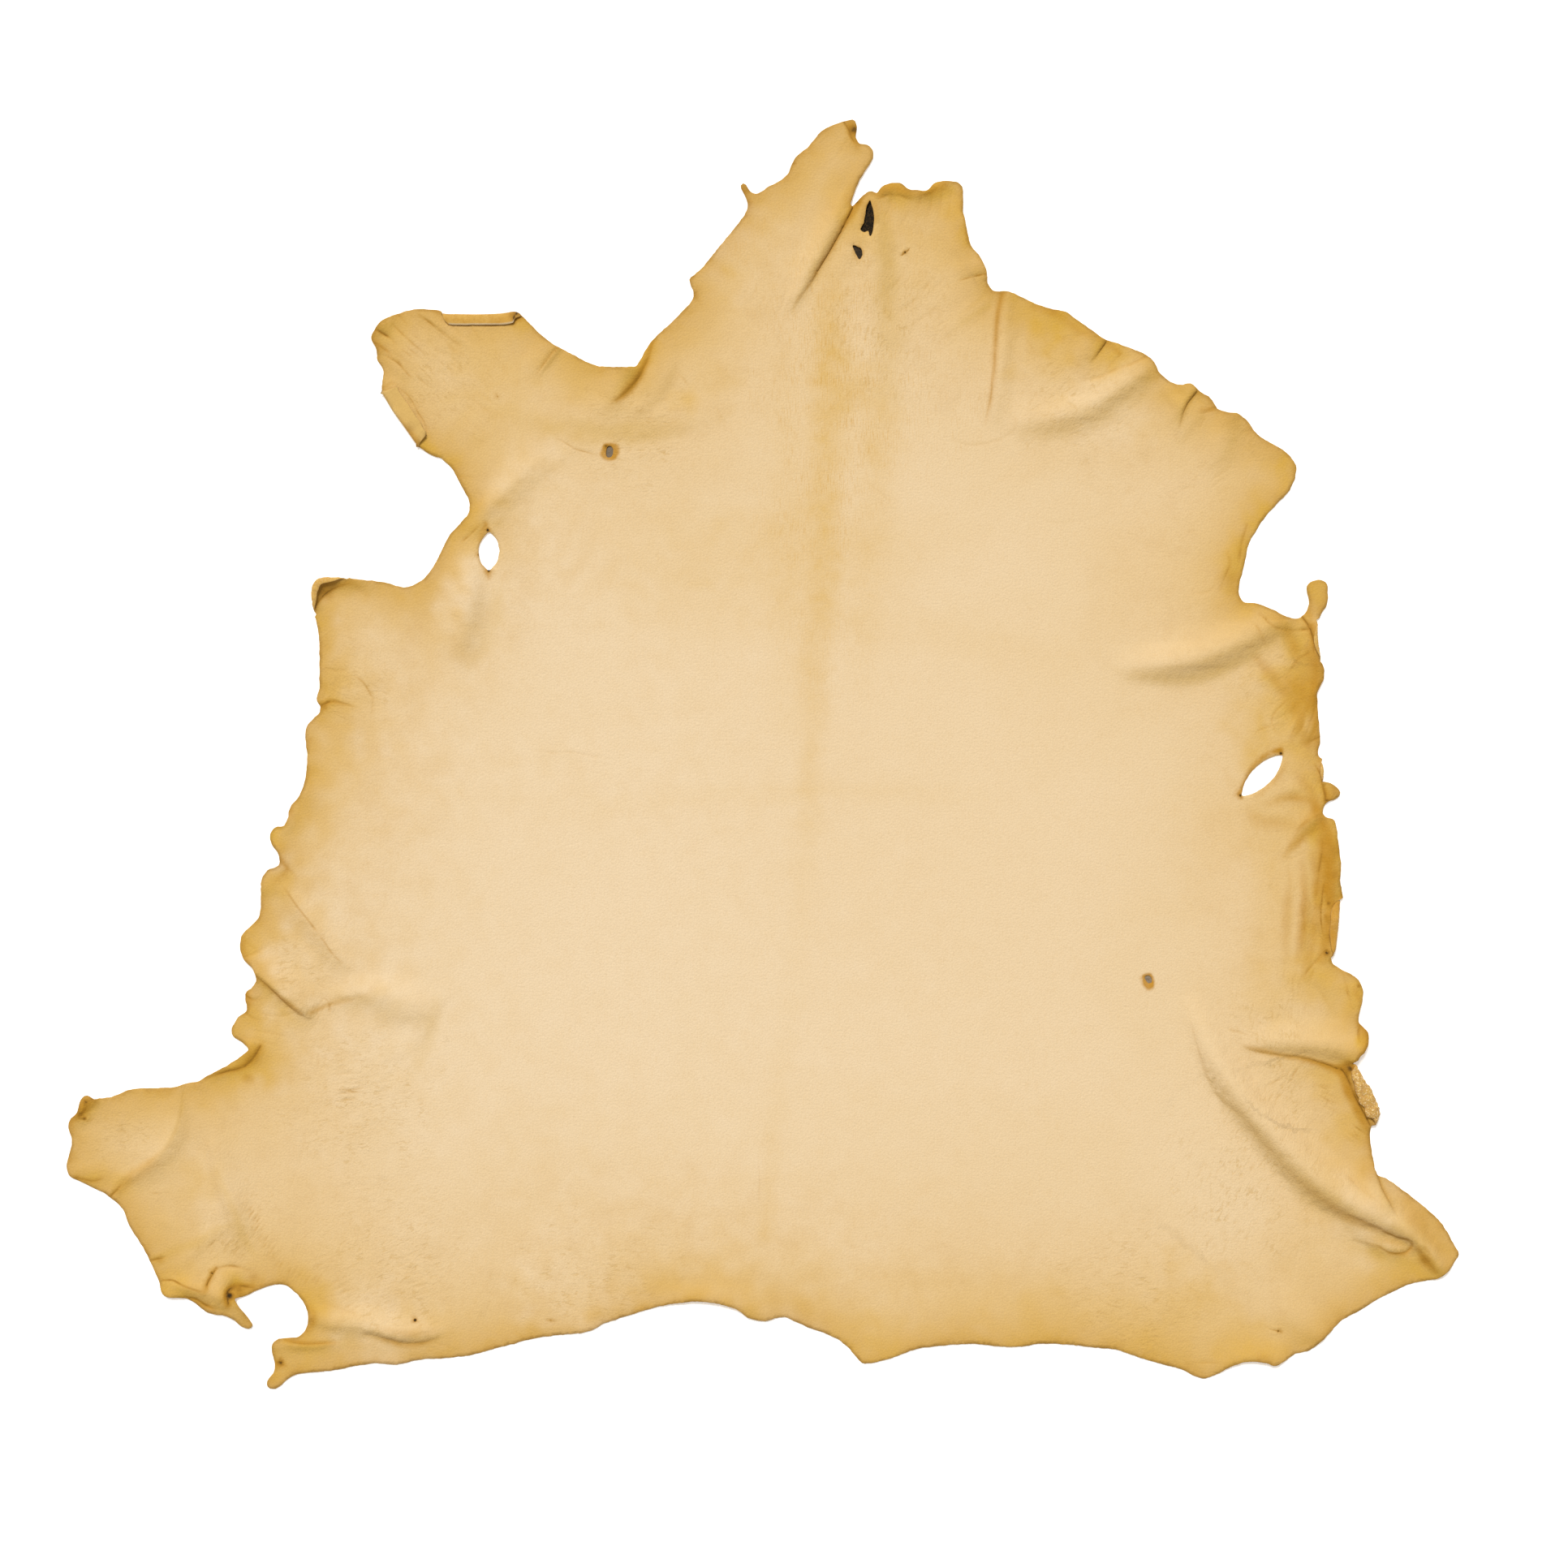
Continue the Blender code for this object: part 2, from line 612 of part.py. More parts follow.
def build_sheet():
    """The closed mesh of the hide: underside, grain side and the cut edge between them."""
    loops = [smooth_loop(OUTLINE, EDGE_STEP)] + [hole_loop(row) for row in HOLES]
    starts = np.vstack(loops)
    ends = np.vstack([np.roll(loop, -1, axis=0) for loop in loops])
    inner = inner_points(starts, ends, loops)
    corners, faces = triangulate(loops, inner)
    under = sheet_height(corners)
    over = under + SHEET_THICKNESS * slope_gain(corners, under, faces) + hem_thickness(corners)
    count = len(corners)
    mesh = bmesh.new()
    low = [mesh.verts.new((x * MM, y * MM, z * MM)) for (x, y), z in zip(corners, under)]
    high = [mesh.verts.new((x * MM, y * MM, z * MM)) for (x, y), z in zip(corners, over)]
    rim = {}
    for a, b, c in faces:
        mesh.faces.new((high[a], high[b], high[c]))
        mesh.faces.new((low[c], low[b], low[a]))
        for start, end in ((a, b), (b, c), (c, a)):
            if rim.pop((end, start), None) is None:
                rim[(start, end)] = True
    for start, end in rim:
        mesh.faces.new((low[start], low[end], high[end]))
        mesh.faces.new((low[start], high[end], high[start]))
    print(count, "points,", len(mesh.faces), "triangles")
    return mesh


def leather_material():
    """Plain tan leather."""
    material = bpy.data.materials.new("leather")
    material.use_nodes = True
    shader = material.node_tree.nodes["Principled BSDF"]
    shader.inputs["Base Color"].default_value = LEATHER["colour"]
    shader.inputs["Roughness"].default_value = LEATHER["roughness"]
    shader.inputs["Metallic"].default_value = LEATHER["metallic"]
    return material


def add_hide():
    """The one piece of the part."""
    sheet = build_sheet()
    data = bpy.data.meshes.new("hide")
    sheet.to_mesh(data)
    sheet.free()
    hide = bpy.data.objects.new("hide", data)
    bpy.context.scene.collection.objects.link(hide)
    data.materials.append(leather_material())
    return hide


OUTLINE_BOX = (np.min(OUTLINE, axis=0), np.max(OUTLINE, axis=0))
clear_scene()
add_hide()
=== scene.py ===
# A whole tanned hide lying grain side up on a pale floor.
import math

import bmesh
import bpy
import numpy as np
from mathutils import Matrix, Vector, geometry, kdtree, noise
from mathutils.bvhtree import BVHTree


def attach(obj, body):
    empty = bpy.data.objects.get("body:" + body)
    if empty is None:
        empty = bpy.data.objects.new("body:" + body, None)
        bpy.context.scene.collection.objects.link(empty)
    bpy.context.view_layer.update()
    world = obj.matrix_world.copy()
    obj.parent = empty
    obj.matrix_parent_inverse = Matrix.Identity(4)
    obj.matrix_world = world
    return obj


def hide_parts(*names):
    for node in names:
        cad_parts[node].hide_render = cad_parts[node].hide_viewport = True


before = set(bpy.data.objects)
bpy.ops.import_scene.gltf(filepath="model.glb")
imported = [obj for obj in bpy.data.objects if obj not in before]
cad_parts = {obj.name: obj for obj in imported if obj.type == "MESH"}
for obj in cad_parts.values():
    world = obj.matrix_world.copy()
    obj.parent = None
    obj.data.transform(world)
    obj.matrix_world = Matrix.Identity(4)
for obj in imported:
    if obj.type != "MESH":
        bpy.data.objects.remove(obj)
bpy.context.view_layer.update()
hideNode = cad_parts["hide"]
mm = 0.001  # the tables of the hide are in millimetres, and the room's in metres

# The tables of paths and spots are grouped by where they lie on the hide. Along a path, a column that is
# left out stays as it was at the point before.

room = {
    "floor": (0.94, 0.94, 0.94),
    "floorHalf": 6.0,  # from its middle to each side
    "floorRoughness": 0.9,
    "floorShine": 0.1,
    "floorGlow": 0.30,  # keeps the shadows on the floor pale
    "frameWidth": 1.449,  # how much of the floor the camera takes in
    "sensor": 36,
    "aim": (0.0195, -0.02775),
    "cameraHeight": 3.4,
    "lampFrom": (-0.24, 0.78, 1.30),
    "lamp": 2.79,
    "lampSpread": 22,  # degrees across, so its shadows are soft
    "fill": 0.42,
    "fillColour": (1.0, 0.955, 0.87),
}

hide = {
    "thickness": 1.8,
    "rimThickness": 1.15,
    "rimGrowth": 0.55,  # the fibrous lip that stands past the solid's straight-sided edge
    "rimStep": 2.3,  # between points of the rim
    "ragged": 0.34,  # how far the cut edge wanders
    "holeStep": 1.1,  # the rim's step round torn holes
    "fineStep": 2.75,  # of the finest mesh
    "leastGap": 0.95,  # between points along a crease
    "underStep": 7.0,  # mesh of the side that lies on the floor
    "fineReach": 9.0,  # fine mesh this far from rims, creases and soft folds
    "softReach": 22.0,  # middling mesh this far from soft folds
    "middleReach": 40.0,  # or this far from rims and creases
    "smoothing": 5,  # passes that round off the solid's flat faces
    "foldHeight": 0.58,  # share of the heights in the table of soft folds
    "swell": 0.9,  # height of the slow unevenness of the field
    "crumple": 0.55,  # height of the small unevenness near the legs and rim
    "crumpleReach": 55.0,  # how far in from the rim it dies away
    "layerGap": 0.3,  # air under a strip that lies turned over
}

# Soft folds. Columns: x, y, height, reach to the left of the path, reach to the right.
ridges = {
    "neck": (
        ((22, 408, 0.2, 8, 5), (36, 433, 1, 10), (53, 462, 1.8, 11), (69, 492, 2.1, 11, 6),
         (83, 520, 1.9, 11, 7), (95, 548, 1.4, 10, 8), (98, 562, 0.8, 9, 6)),
        ((70, 528, 0.1, 6, 6), (60, 510, 0.5, 7, 7), (48, 484, 0.6), (36, 458, 0.1)),
        ((60, 440, 0.2, 6, 11), (73, 458, 1, 7, 12), (84, 484, 1.4), (92, 504, 1.1, 6, 9)),
        ((97, 470, 0.2, 14, 11), (100, 440, 1, 15, 14), (102, 400, 0.9, 16, 16), (100, 360, 0.5),
         (98, 325, 0.1, 14, 14)),
        ((150, 470, 0.1, 14, 16), (146, 440, 0.7, 16, 18), (142, 400, 0.7, 18), (138, 360, 0.1, 16, 16)),
        ((176, 448, 0.2, 9, 8), (192, 449, 1.3, 9, 6), (208, 452, 1.5)),
        ((168, 394, 0.1, 8, 7), (186, 405, 0.7, 9), (204, 418)),
        ((107, 517, 0.6, 4, 5), (114, 522, 2.2, 5, 6), (122, 524, 2.4, 5, 7), (130, 520, 1.4, 5, 6),
         (137, 516, 0.3, 4, 5)),
        ((146, 518, 0.4, 4, 5), (153, 521, 1.8, 5), (161, 525, 2), (170, 528, 0.5, 4)),
    ),
    "leftShoulder": (
        ((-270, 182, 0.2, 6, 6), (-252, 208, 0.6), (-232, 234, 0.8), (-210, 256, 0.7), (-188, 274, 0.5),
         (-168, 290, 0.1, 5, 5)),
        ((-190, 322, 0.2, 16, 18), (-152, 316, 1.4, 18, 22), (-112, 313, 2, 20, 24),
         (-76, 316, 1.4, 18, 22), (-40, 323, 0.2, 16, 18)),
        ((-118, 386, 1.2, 14, 14), (-126, 368, 1.6, 14, 16), (-136, 352, 1.4, 13),
         (-148, 338, 0.2, 10, 12)),
        ((-95, 376, 1.8, 18, 8), (-97, 358, 3, 20, 9), (-106, 341, 3.2), (-118, 327, 2.4, 18),
         (-133, 318, 0.3, 14, 8)), ((-352, 397, 1.8, 5, 5), (-340, 386, 1.6, 5, 6), (-328, 374, 0.3)),
        ((-349, 383, 1.2, 5, 5), (-336, 372, 1.6, 5, 6), (-322, 357, 0.3)),
        ((-322, 410, 0.5, 6, 6), (-306, 402, 1.8), (-288, 389, 1.4, 6, 7), (-272, 375, 0.2)),
        ((-347, 363, 0.8, 4, 5), (-336, 355, 1.2), (-328, 345, 0.2)),
        ((-200, 384, 0.8, 8, 8), (-211, 368, 1.4, 9), (-222, 352, 0.2)),
    ),
    "rightShoulder": (
        ((362, 358, 1.6, 10, 9), (344, 341, 1.7, 15, 14), (322, 325, 1.4, 19, 19), (296, 314, 1, 21, 21),
         (262, 307, 0.6, 21, 20), (228, 297, 0.1, 16, 14)),
        ((402, 318, 1.6, 8, 10), (388, 302, 1.6, 10, 12), (376, 284, 0.2)),
        ((374, 334, 1.6, 9, 6), (382, 320, 2.3, 10), (379, 304, 0.3, 9, 7)),
        ((358, 360, 1.2, 8, 8), (348, 346, 1.2, 8, 9), (340, 334, 0.2)),
        ((312, 386, 2, 6, 9), (305, 375, 1.8, 6, 10), (298, 364, 0.2)),
    ),
    "rightFlank": (
        ((330, 88, 0.2, 24, 17), (360, 80, 1.3, 28, 18), (392, 78.5, 2.1, 30), (420, 88, 2.5, 28),
         (446, 101, 2.4, 24, 16), (464, 113, 1.2, 14, 12)),
        ((426, 112, 0.3, 14, 16), (446, 124, 1.4, 14, 14), (470, 126, 1.6, 11, 12), (494, 122, 0.8, 8, 10)),
        ((508, -54, 0.4, 10, 12), (515, -70, 2, 12, 16), (518, -92, 3, 12, 18), (520, -118, 3, 11),
         (517, -140, 2, 10, 15), (512, -160, 0.3, 9, 12)),
        ((502, -66, 0.2, 10, 12), (500, -100, 1.2, 11, 13), (498, -140, 1.4, 11, 14), (497, -180, 1.2),
         (493, -212, 0.1, 10, 12)),
        ((470, -118, 0.1, 12, 12), (476, -150, 0.9, 12, 13), (474, -190), (468, -220, 0.1, 12, 12)),
        ((506, 56, 1.3, 8, 12), (500, 34, 1.6, 10, 13), (492, 18, 1.1), (482, 6, 0.2, 10, 12)),
        ((436, 200, 0.3, 9, 10), (434, 180, 1.2), (428, 160, 0.2)),
        ((448, 60, 0.1, 6, 6), (462, 69, 0.8, 7, 7), (476, 78, 0.2, 6, 6)),
        ((483, 10, 0.1, 5, 5), (490, 26, 1, 6, 6), (500, 45, 0.2, 5, 5)),
        ((499, 10, 0.1, 5, 5), (506, 24, 1.1), (513, 40, 0.2, 4, 4)),
        ((466, -38, 0.1, 6, 6), (484, -30, 0.9, 7, 7), (503, -33, 0.2, 6, 6)),
        ((480, -94, 0.1, 6, 6), (489, -80, 1, 7, 7), (506, -62, 1.2, 6, 6), (517, -56, 0.3, 5, 5)),
        ((496, -108, 0.1, 5, 5), (497, -138, 0.9, 6, 6), (493, -168), (494, -186, 0.1, 5, 5)),
        ((510, -112, 0.1, 4, 4), (513, -138, 0.9, 4.5, 4.5), (516, -166, 0.2, 4, 4)),
    ),
    "leftFlank": (
        ((-263, 176, 0.2, 13, 15), (-262, 150, 1, 14, 17), (-266, 118, 1.1, 14, 18),
         (-275, 90, 0.7, 14, 16), (-286, 70, 0.1, 12, 14)),
        ((-470, -196, 0.8, 12, 7), (-456, -204, 1.3, 18, 8), (-441, -217, 1.4, 20), (-427, -230, 1.1),
         (-414, -238, 0.6, 16, 9), (-402, -239, 0.1, 14)),
        ((-437, -126, 0.2, 9, 6), (-425, -144, 0.9, 11, 5), (-409, -165, 1, 12), (-394, -185, 0.7, 11),
         (-380, -198, 0.1, 9, 6)),
        ((-416, -232, 0.2, 10, 8), (-398, -223, 0.6, 14), (-366, -215, 0.7, 16, 9),
         (-340, -205, 0.3, 15, 10), (-322, -196, 0.1, 12)),
        ((-280, -212, 0.1, 7, 14), (-300, -228, 0.9, 8, 18), (-312, -252, 1, 8, 20),
         (-330, -272, 0.8, 8, 18), (-357, -281, 0.1, 7, 14)),
    ),
    "rightHindLeg": (
        ((396, -226, 0.18, 14, 10), (404, -245, 0.9, 14, 12), (414, -266, 1.5, 14, 14),
         (424, -282, 1.9, 15, 17), (437, -299, 2.2, 15, 19), (450, -316, 2.3, 16, 21),
         (465, -333, 2.6, 16, 22), (482, -355, 3.1, 17, 23), (499, -374, 3.4, 18, 25),
         (521, -389, 3.8, 19, 26), (544, -406, 4.1, 20, 24), (570, -423, 4.2, 18, 17),
         (586, -434, 3.8, 14, 12), (600, -442, 3.2, 11, 9), (613, -458, 2.5, 9, 8), (626, -475, 1.1, 8)),
        ((556, -439, 0.3, 5, 5), (566, -443, 1.8, 6, 6), (577, -449.5, 2.8, 7, 7), (587, -454, 3, 6.5, 6.5),
         (593, -454.5, 1.4, 5, 5)),
        ((450, -264, 0.1, 12, 6), (468, -266, 0.3, 15, 7), (495, -268, 0.5, 16, 8), (520, -272, 0.8, 16, 9),
         (538, -278, 1, 13), (546, -281, 0.7, 9, 7)),
        ((500, -196, 0.3, 12, 10), (514, -206, 1.4, 12, 11), (526, -214, 1, 11), (536, -222, 0.2, 8, 10)),
    ),
    "leftHindLeg": (
        ((-543, -302, 0.2, 9, 9), (-546, -322, 0.6, 9, 10), (-553, -343, 0.8, 9, 12), (-566, -360),
         (-583, -372, 0.7, 8), (-599, -384, 0.3, 7, 10)),
        ((-514, -365, 0.1, 8, 14), (-508, -392, 0.6, 9, 15), (-500, -415, 0.9, 9, 14),
         (-492, -438, 0.9, 9, 12), (-485, -458, 0.2, 8, 10)),
        ((-562, -429, 0.1, 4, 4), (-549, -433, 0.7, 4, 5), (-536, -438, 0.1, 4, 4)),
        ((-488, -436, 0.2, 6, 8), (-502, -440, 1, 7, 10), (-517, -450, 1.4, 8, 11),
         (-531, -463, 1.2, 8, 10), (-542, -476, 0.1, 7, 8)),
        ((-553, -487, 0.6, 5, 5), (-538, -490, 2.2, 6, 6), (-524, -494, 2.6), (-513, -499, 1, 5, 5)),
        ((-478, -479, 0.4, 9, 7), (-490, -480, 2.4), (-499, -486, 3.4, 9, 8), (-502, -496),
         (-499, -507, 2, 8, 7)), ((-598, -398, 1.6, 6, 10), (-590, -388, 1.2, 7), (-578, -384, 0.2, 7, 9)),
        ((-632, -384, 1.4, 9, 14), (-612, -385, 1.1), (-596, -384, 0.2, 8, 10)),
        ((-638, -338, 0.8, 5, 5), (-632, -329, 3, 6, 6), (-625, -322), (-616, -319, 1, 5, 5)),
        ((-636, -344, 0.3, 5, 5), (-629, -338, 1.6), (-622, -333, 0.3)),
    ),
    "rump": (
        ((-420, -524, 0.1, 12, 7), (-396, -525, 0.4, 14, 8), (-368, -529, 0.6, 14, 9), (-338, -534, 0.9),
         (-314, -535, 0.8, 12), (-298, -532, 0.2, 9, 7)),
        ((-400, -508, 0.1, 12, 9), (-380, -513, 0.5, 13, 10), (-356, -520, 0.1, 12)),
    ),
}

# Folds with a lip: the high side is on the left of the path, walking down the table.
# Columns: x, y, height of the lip, reach of the fold, how far the lip hangs over.
lips = {
    "neck": (
        ((35, 423, 0.2, 5, 0.1), (45, 438, 0.6, 6, 0.5), (56, 457, 1.1, 7, 0.9), (71, 483, 1.5, 8, 1.3),
         (79, 498, 1.5, 7, 1.4), (83, 507, 0.8, 6, 0.8)),
    ),
    "leftShoulder": (
        ((-189, 375, 1, 5, 0.7), (-199, 363, 0.8, 6, 0.4), (-209, 349, 0.1, 6, 0.1)),
    ),
    "rightShoulder": (
        ((384, 302, 0.2, 6, 0.2), (387, 316, 0.9, 7, 0.7), (391, 325, 1.4, 7, 1), (399, 335, 1.6, 7, 1.1)),
        ((304, 364, 0.3, 5, 0.2), (311, 374, 1.2, 7, 0.9), (317, 383, 1.6, 7, 1.1)),
    ),
    "leftFlank": (
        ((-468, -203, 0.6, 6, 0.4), (-457, -211, 0.8, 7, 0.6), (-446, -222), (-435, -233, 0.6, 6, 0.4),
         (-426, -240, 0.3, 6, 0.2), (-419, -242, 0.1, 6, 0.1)),
    ),
    "rightHindLeg": (
        ((444, -270, 0.1, 6, 0.1), (457, -274, 0.4, 6, 0.3), (480, -277, 0.6, 7, 0.5), (495, -278.5, 0.7),
         (510, -282, 0.8, 8, 0.6), (525, -287, 1.1, 8, 0.8), (537, -293, 1.4, 8, 1)),
        ((582, -424, 0.2, 6, 0.2), (575, -412, 1.1, 8, 0.8), (569, -400, 1.6, 9, 1.3),
         (565, -388, 1.8, 9, 1.5)),
    ),
    "leftHindLeg": (
        ((-390, -544, 0.2, 6, 0.2), (-405, -545, 1, 7, 0.8), (-420, -546, 1.4, 7, 1.1), (-433, -545),
         (-441, -543, 0.6, 6, 0.4)),
    ),
    "rump": (
        ((-366, -535, 0.1, 6, 0.1), (-350, -537, 0.2), (-338, -541, 0.3, 7, 0.2), (-324, -543, 0.4, 7, 0.3),
         (-310, -541, 0.3, 7, 0.2), (-300, -538, 0.1, 6, 0.1)),
    ),
}

# Creases pressed into the grain: how brown each is, then x, y, depth, half-width.
creases = {
    "neck": (
        (0.7, (43, 435, 0.7, 1.4), (35, 423, 0.5, 1.8), (27, 410, 0.1, 2.2)),
        (0.8, (184, 438, 0.4, 1.4), (195, 441, 1, 1.6), (206, 443, 1.1, 1.8)),
        (1, (88, 512, 1.2, 2.4), (83, 505, 1.4, 2.6), (77, 494, 1.2, 2), (70, 481, 1, 1.5),
         (57, 458, 0.9, 1.2), (46, 440, 0.7, 1.1)),
        (0.9, (75, 584, 0.8, 2.2), (79, 577, 1.1, 2.6), (82, 569), (85, 564, 0.8, 2)),
        (0.25, (79, 568, 0.3, 1.8), (67, 550, 0.4, 2), (60, 545, 0.1)),
        (0.15, (172, 400, 0.1, 3), (191, 412, 0.4, 3.6), (206, 425)),
        (0.15, (184, 389, 0.1, 3), (199, 400, 0.4, 3.6), (211, 412, 0.3)),
        (0.2, (126, 408, 0.1, 3), (136, 415, 0.35), (146, 423, 0.1)),
        (0.2, (136, 392, 0.1, 3), (148, 403, 0.3), (158, 410, 0.1)),
        (0.3, (0, 400, 0.1, 1.6), (11, 385, 0.3, 1.8), (23, 374, 0.1, 1.6)),
        (0.25, (7, 322, 0.1, 1.6), (16, 310, 0.3), (24, 300, 0.1)),
        (1, (128.5, 460.5, 1.2, 1.3), (134.5, 465.5, 1)),
        (0.4, (-45, 322, 0.1, 1.4), (-39, 313, 0.4), (-38, 308, 0.1)),
        (0.35, (146, 523, 0.5, 1.4), (145, 509, 0.5, 1.5), (141, 500, 0.1, 1.4)),
        (0.35, (156, 517, 0.5, 1.3), (154.5, 505, 0.4, 1.4), (152, 497, 0.1, 1.3)),
        (0.35, (165, 522, 0.5, 1.4), (163.5, 502, 0.5, 1.6), (159, 487, 0.1, 1.4)),
        (0.3, (135, 502, 0.1, 1.3), (131, 494, 0.4, 1.5), (127, 486, 0.1, 1.3)),
        (0.3, (174, 519, 0.4, 1.4), (172, 503, 0.4, 1.5), (170, 492, 0.1, 1.4)),
        (0.3, (119, 517, 0.5, 1.3), (117, 505, 0.4, 1.4), (113, 497, 0.1, 1.3)),
        (0.8, (107, 513, 0.5, 1.6), (116, 516, 0.8, 1.8), (127, 515), (137, 512, 0.2, 1.6)),
        (0.7, (146, 515, 0.3, 1.6), (153, 517, 0.8, 1.8), (160, 521), (168, 526, 0.2, 1.6)),
    ),
    "leftShoulder": (
        (0.5, (-80, 352, 0.1, 1.6), (-72, 345, 0.5, 1.8), (-70, 340, 0.1, 1.4)),
        (0.7, (-279, 195, 0.1, 1.5), (-270, 203, 0.9, 1.7), (-260, 213, 0.1, 1.5)),
        (0.8, (-253, 207, 0.9, 2), (-256, 214, 0.1, 1.6)),
        (0.7, (-190, 291, 0.1, 1.1), (-182, 287, 0.5, 1.2), (-174, 282, 0.6), (-164, 279, 0.5),
         (-150, 275, 0.2)),
        (0.25, (-204, 264, 0.3, 2), (-199, 254, 0.4), (-191, 244, 0.3), (-186, 236, 0.1)),
        (1, (-358, 392, 1, 2), (-349, 387, 1.2, 2.2), (-340, 379, 0.3, 1.8)),
        (0.6, (-338, 407, 0.8, 1.6), (-329, 397, 0.2, 1.5)),
        (0.6, (-342, 397, 0.2, 1.5), (-330, 385, 0.8, 1.6), (-322, 378, 0.7), (-313, 370, 0.1, 1.5)),
        (0.7, (-318, 405, 0.7, 2), (-307, 398, 1.1, 2.2), (-292, 386, 0.5, 1.8), (-279, 375, 0.1, 1.6)),
        (0.9, (-358, 379, 1, 2), (-349, 374), (-342, 366, 0.2, 1.7)),
        (0.7, (-347, 367, 0.6, 1.6), (-337, 361, 0.9, 1.7), (-330, 353, 0.8, 1.6), (-324, 347, 0.1, 1.5)),
        (0.3, (-326, 381, 0.1, 1.6), (-315, 372, 0.4), (-303, 366, 0.1)),
        (0.3, (-302, 390, 0.1, 1.8), (-285, 374, 0.5), (-273, 366, 0.1)),
        (0.3, (-296, 402, 0.3, 1.6), (-284, 391, 0.5, 1.8), (-270, 379, 0.1)),
        (0.65, (-338, 339, 0.2, 1.2), (-326, 329, 0.7, 1.3), (-319, 316, 0.8), (-313, 307, 0.7, 1.4),
         (-311, 298, 0.4), (-316, 292, 0.1, 1.3)),
        (0.8, (-351, 337, 0.9, 2), (-343, 342, 0.7), (-337, 341, 0.2, 1.6)),
        (0.5, (-286, 258, 0.7, 2), (-275, 256, 0.5), (-264, 254, 0.1)),
        (0.35, (-266, 247, 0.1, 2), (-259, 236, 0.5), (-262, 229, 0.1)),
        (0, (-212, 324, 0.1, 12), (-187, 308, 0.3, 14), (-150, 299, 0.4, 15), (-105, 303, 0.3),
         (-72, 314, 0.1, 12)), (0.25, (-98, 319, 0.1, 1.6), (-75, 317, 0.3), (-60, 316, 0.1)),
        # painted shadow: a brown line under the turned-over hem, pressed in a little
        (1, (-289, 395.6, 0.5, 1.2), (-262, 395.2, 0.6), (-238, 395.8, 0.6, 1.3)),
        (0.6, (-190, 377, 0.7, 1.6), (-200, 363, 0.9, 1.7), (-209, 350, 0.2, 1.6)),
        (0.5, (-150, 275.5, 0.3, 1.3), (-146, 276, 0.5, 1.4)),
        (0.75, (-101, 382, 0.4, 2), (-106, 365, 0.7, 2.4), (-114, 349, 1.1, 2.8), (-124, 337),
         (-135, 326, 0.3, 2.2)),
    ),
    "rightShoulder": (
        (0.5, (221, 425, 0.6, 2.6), (218, 412, 0.7, 2.8), (216, 397), (215, 380, 0.7, 2.4),
         (214, 362, 0.7, 2.2), (212, 347, 0.7, 1.8), (211, 332, 0.7, 1.5), (208, 318, 0.5, 1.6),
         (206, 306, 0.1, 2)),
        (0.25, (176, 289, 0.1, 2.4), (195, 285, 0.3, 2.6), (221, 291, 0.3, 3), (233, 300, 0.3, 3.4)),
        (0.7, (355, 367, 1, 2), (341, 360, 0.8), (326, 355, 0.6, 1.8), (311, 348, 0.5), (294, 345, 0.1, 2)),
        (0.4, (268, 381, 0.1, 1.6), (285, 385, 0.4), (304, 388, 0.3, 1.8)),
        (0.9, (419, 320, 1.1, 2), (409, 316, 0.5, 1.8), (402, 315, 0.1, 1.6)),
        (0.1, (346, 248, 0.1, 4), (330, 235, 0.2, 5), (315, 223, 0.25), (302, 216, 0.25, 4),
         (270, 213, 0.2, 3), (256, 218, 0.1)),
        (0.3, (381, 241, 0.1, 1.4), (392, 246, 0.3), (402, 247, 0.1)),
        (0.7, (447, 211, 0.5, 2.6), (442, 194, 0.8, 3), (440, 179, 0.5)),
        (0.5, (330, 369, 0.6, 1.5), (321, 359, 0.3), (314, 352, 0.1, 1.4)),
        (0.4, (408, 310, 0.5, 1.3), (404, 302, 0.3, 1.4), (402, 292, 0.1, 1.3)),
        (0.4, (416, 322, 0.5, 1.3), (409, 323, 0.4), (401, 327, 0.1)),
    ),
    "rightFlank": (
        (0.7, (429, 187, 0.3, 3), (431, 175, 0.8), (427, 164, 0.8, 2.6), (422, 150, 0.2, 3)),
        (0.3, (421, 160, 0.1, 2), (412, 150, 0.3, 2.4), (398, 148, 0.1)),
        (0.7, (458, 131, 0.3, 2), (465, 123, 0.8), (474, 116), (487, 114, 0.7), (504, 115, 0.9, 2.2)),
        (0.5, (450, 122, 0.1, 1.8), (456, 117, 0.6, 2.2), (460, 109, 0.6, 3.2), (466, 98, 0.1, 4)),
        (1, (497, 128, 0.8, 2.2), (504, 118, 1.4, 2.6), (508, 105), (508, 94, 0.9, 2.2)),
        (0.6, (504, 93, 0.8, 2.4), (495, 88, 0.7, 3), (489, 80, 0.6), (482, 71, 0.1)),
        (0.7, (509, 55, 0.6, 2), (509, 38, 0.7), (504, 27, 0.2, 2.4)),
        (0.8, (515, 16, 0.8, 3), (504, 11, 0.7, 4), (496, 5, 0.1)),
        (0.8, (510, -10, 0.4, 1.4), (514, -17, 0.8, 1.5), (517, -22)),
        (1, (517, -26, 0.8, 1.8), (519, -35, 1.3, 2.2), (520, -43, 1.2, 2.4)),
        (0.75, (518, -55, 1, 2), (504, -61, 0.9), (496, -68, 0.7), (490, -78, 0.1, 2.4)),
        (0.4, (497, -92, 0.3, 2), (488, -97, 0.6), (478, -93, 0.1)),
        (0.8, (517, -80, 0.3, 3), (516, -92, 0.9), (513, -110), (511, -130, 0.5)),
        (0.9, (518, -120, 0.5, 1.3), (516, -136, 1.1, 1.5), (515, -151), (517, -166, 0.4)),
        (0.8, (521, -181, 1, 2.2), (514, -188, 0.8, 2), (504, -199, 0.6, 2.2), (498, -208, 0.1, 2.4)),
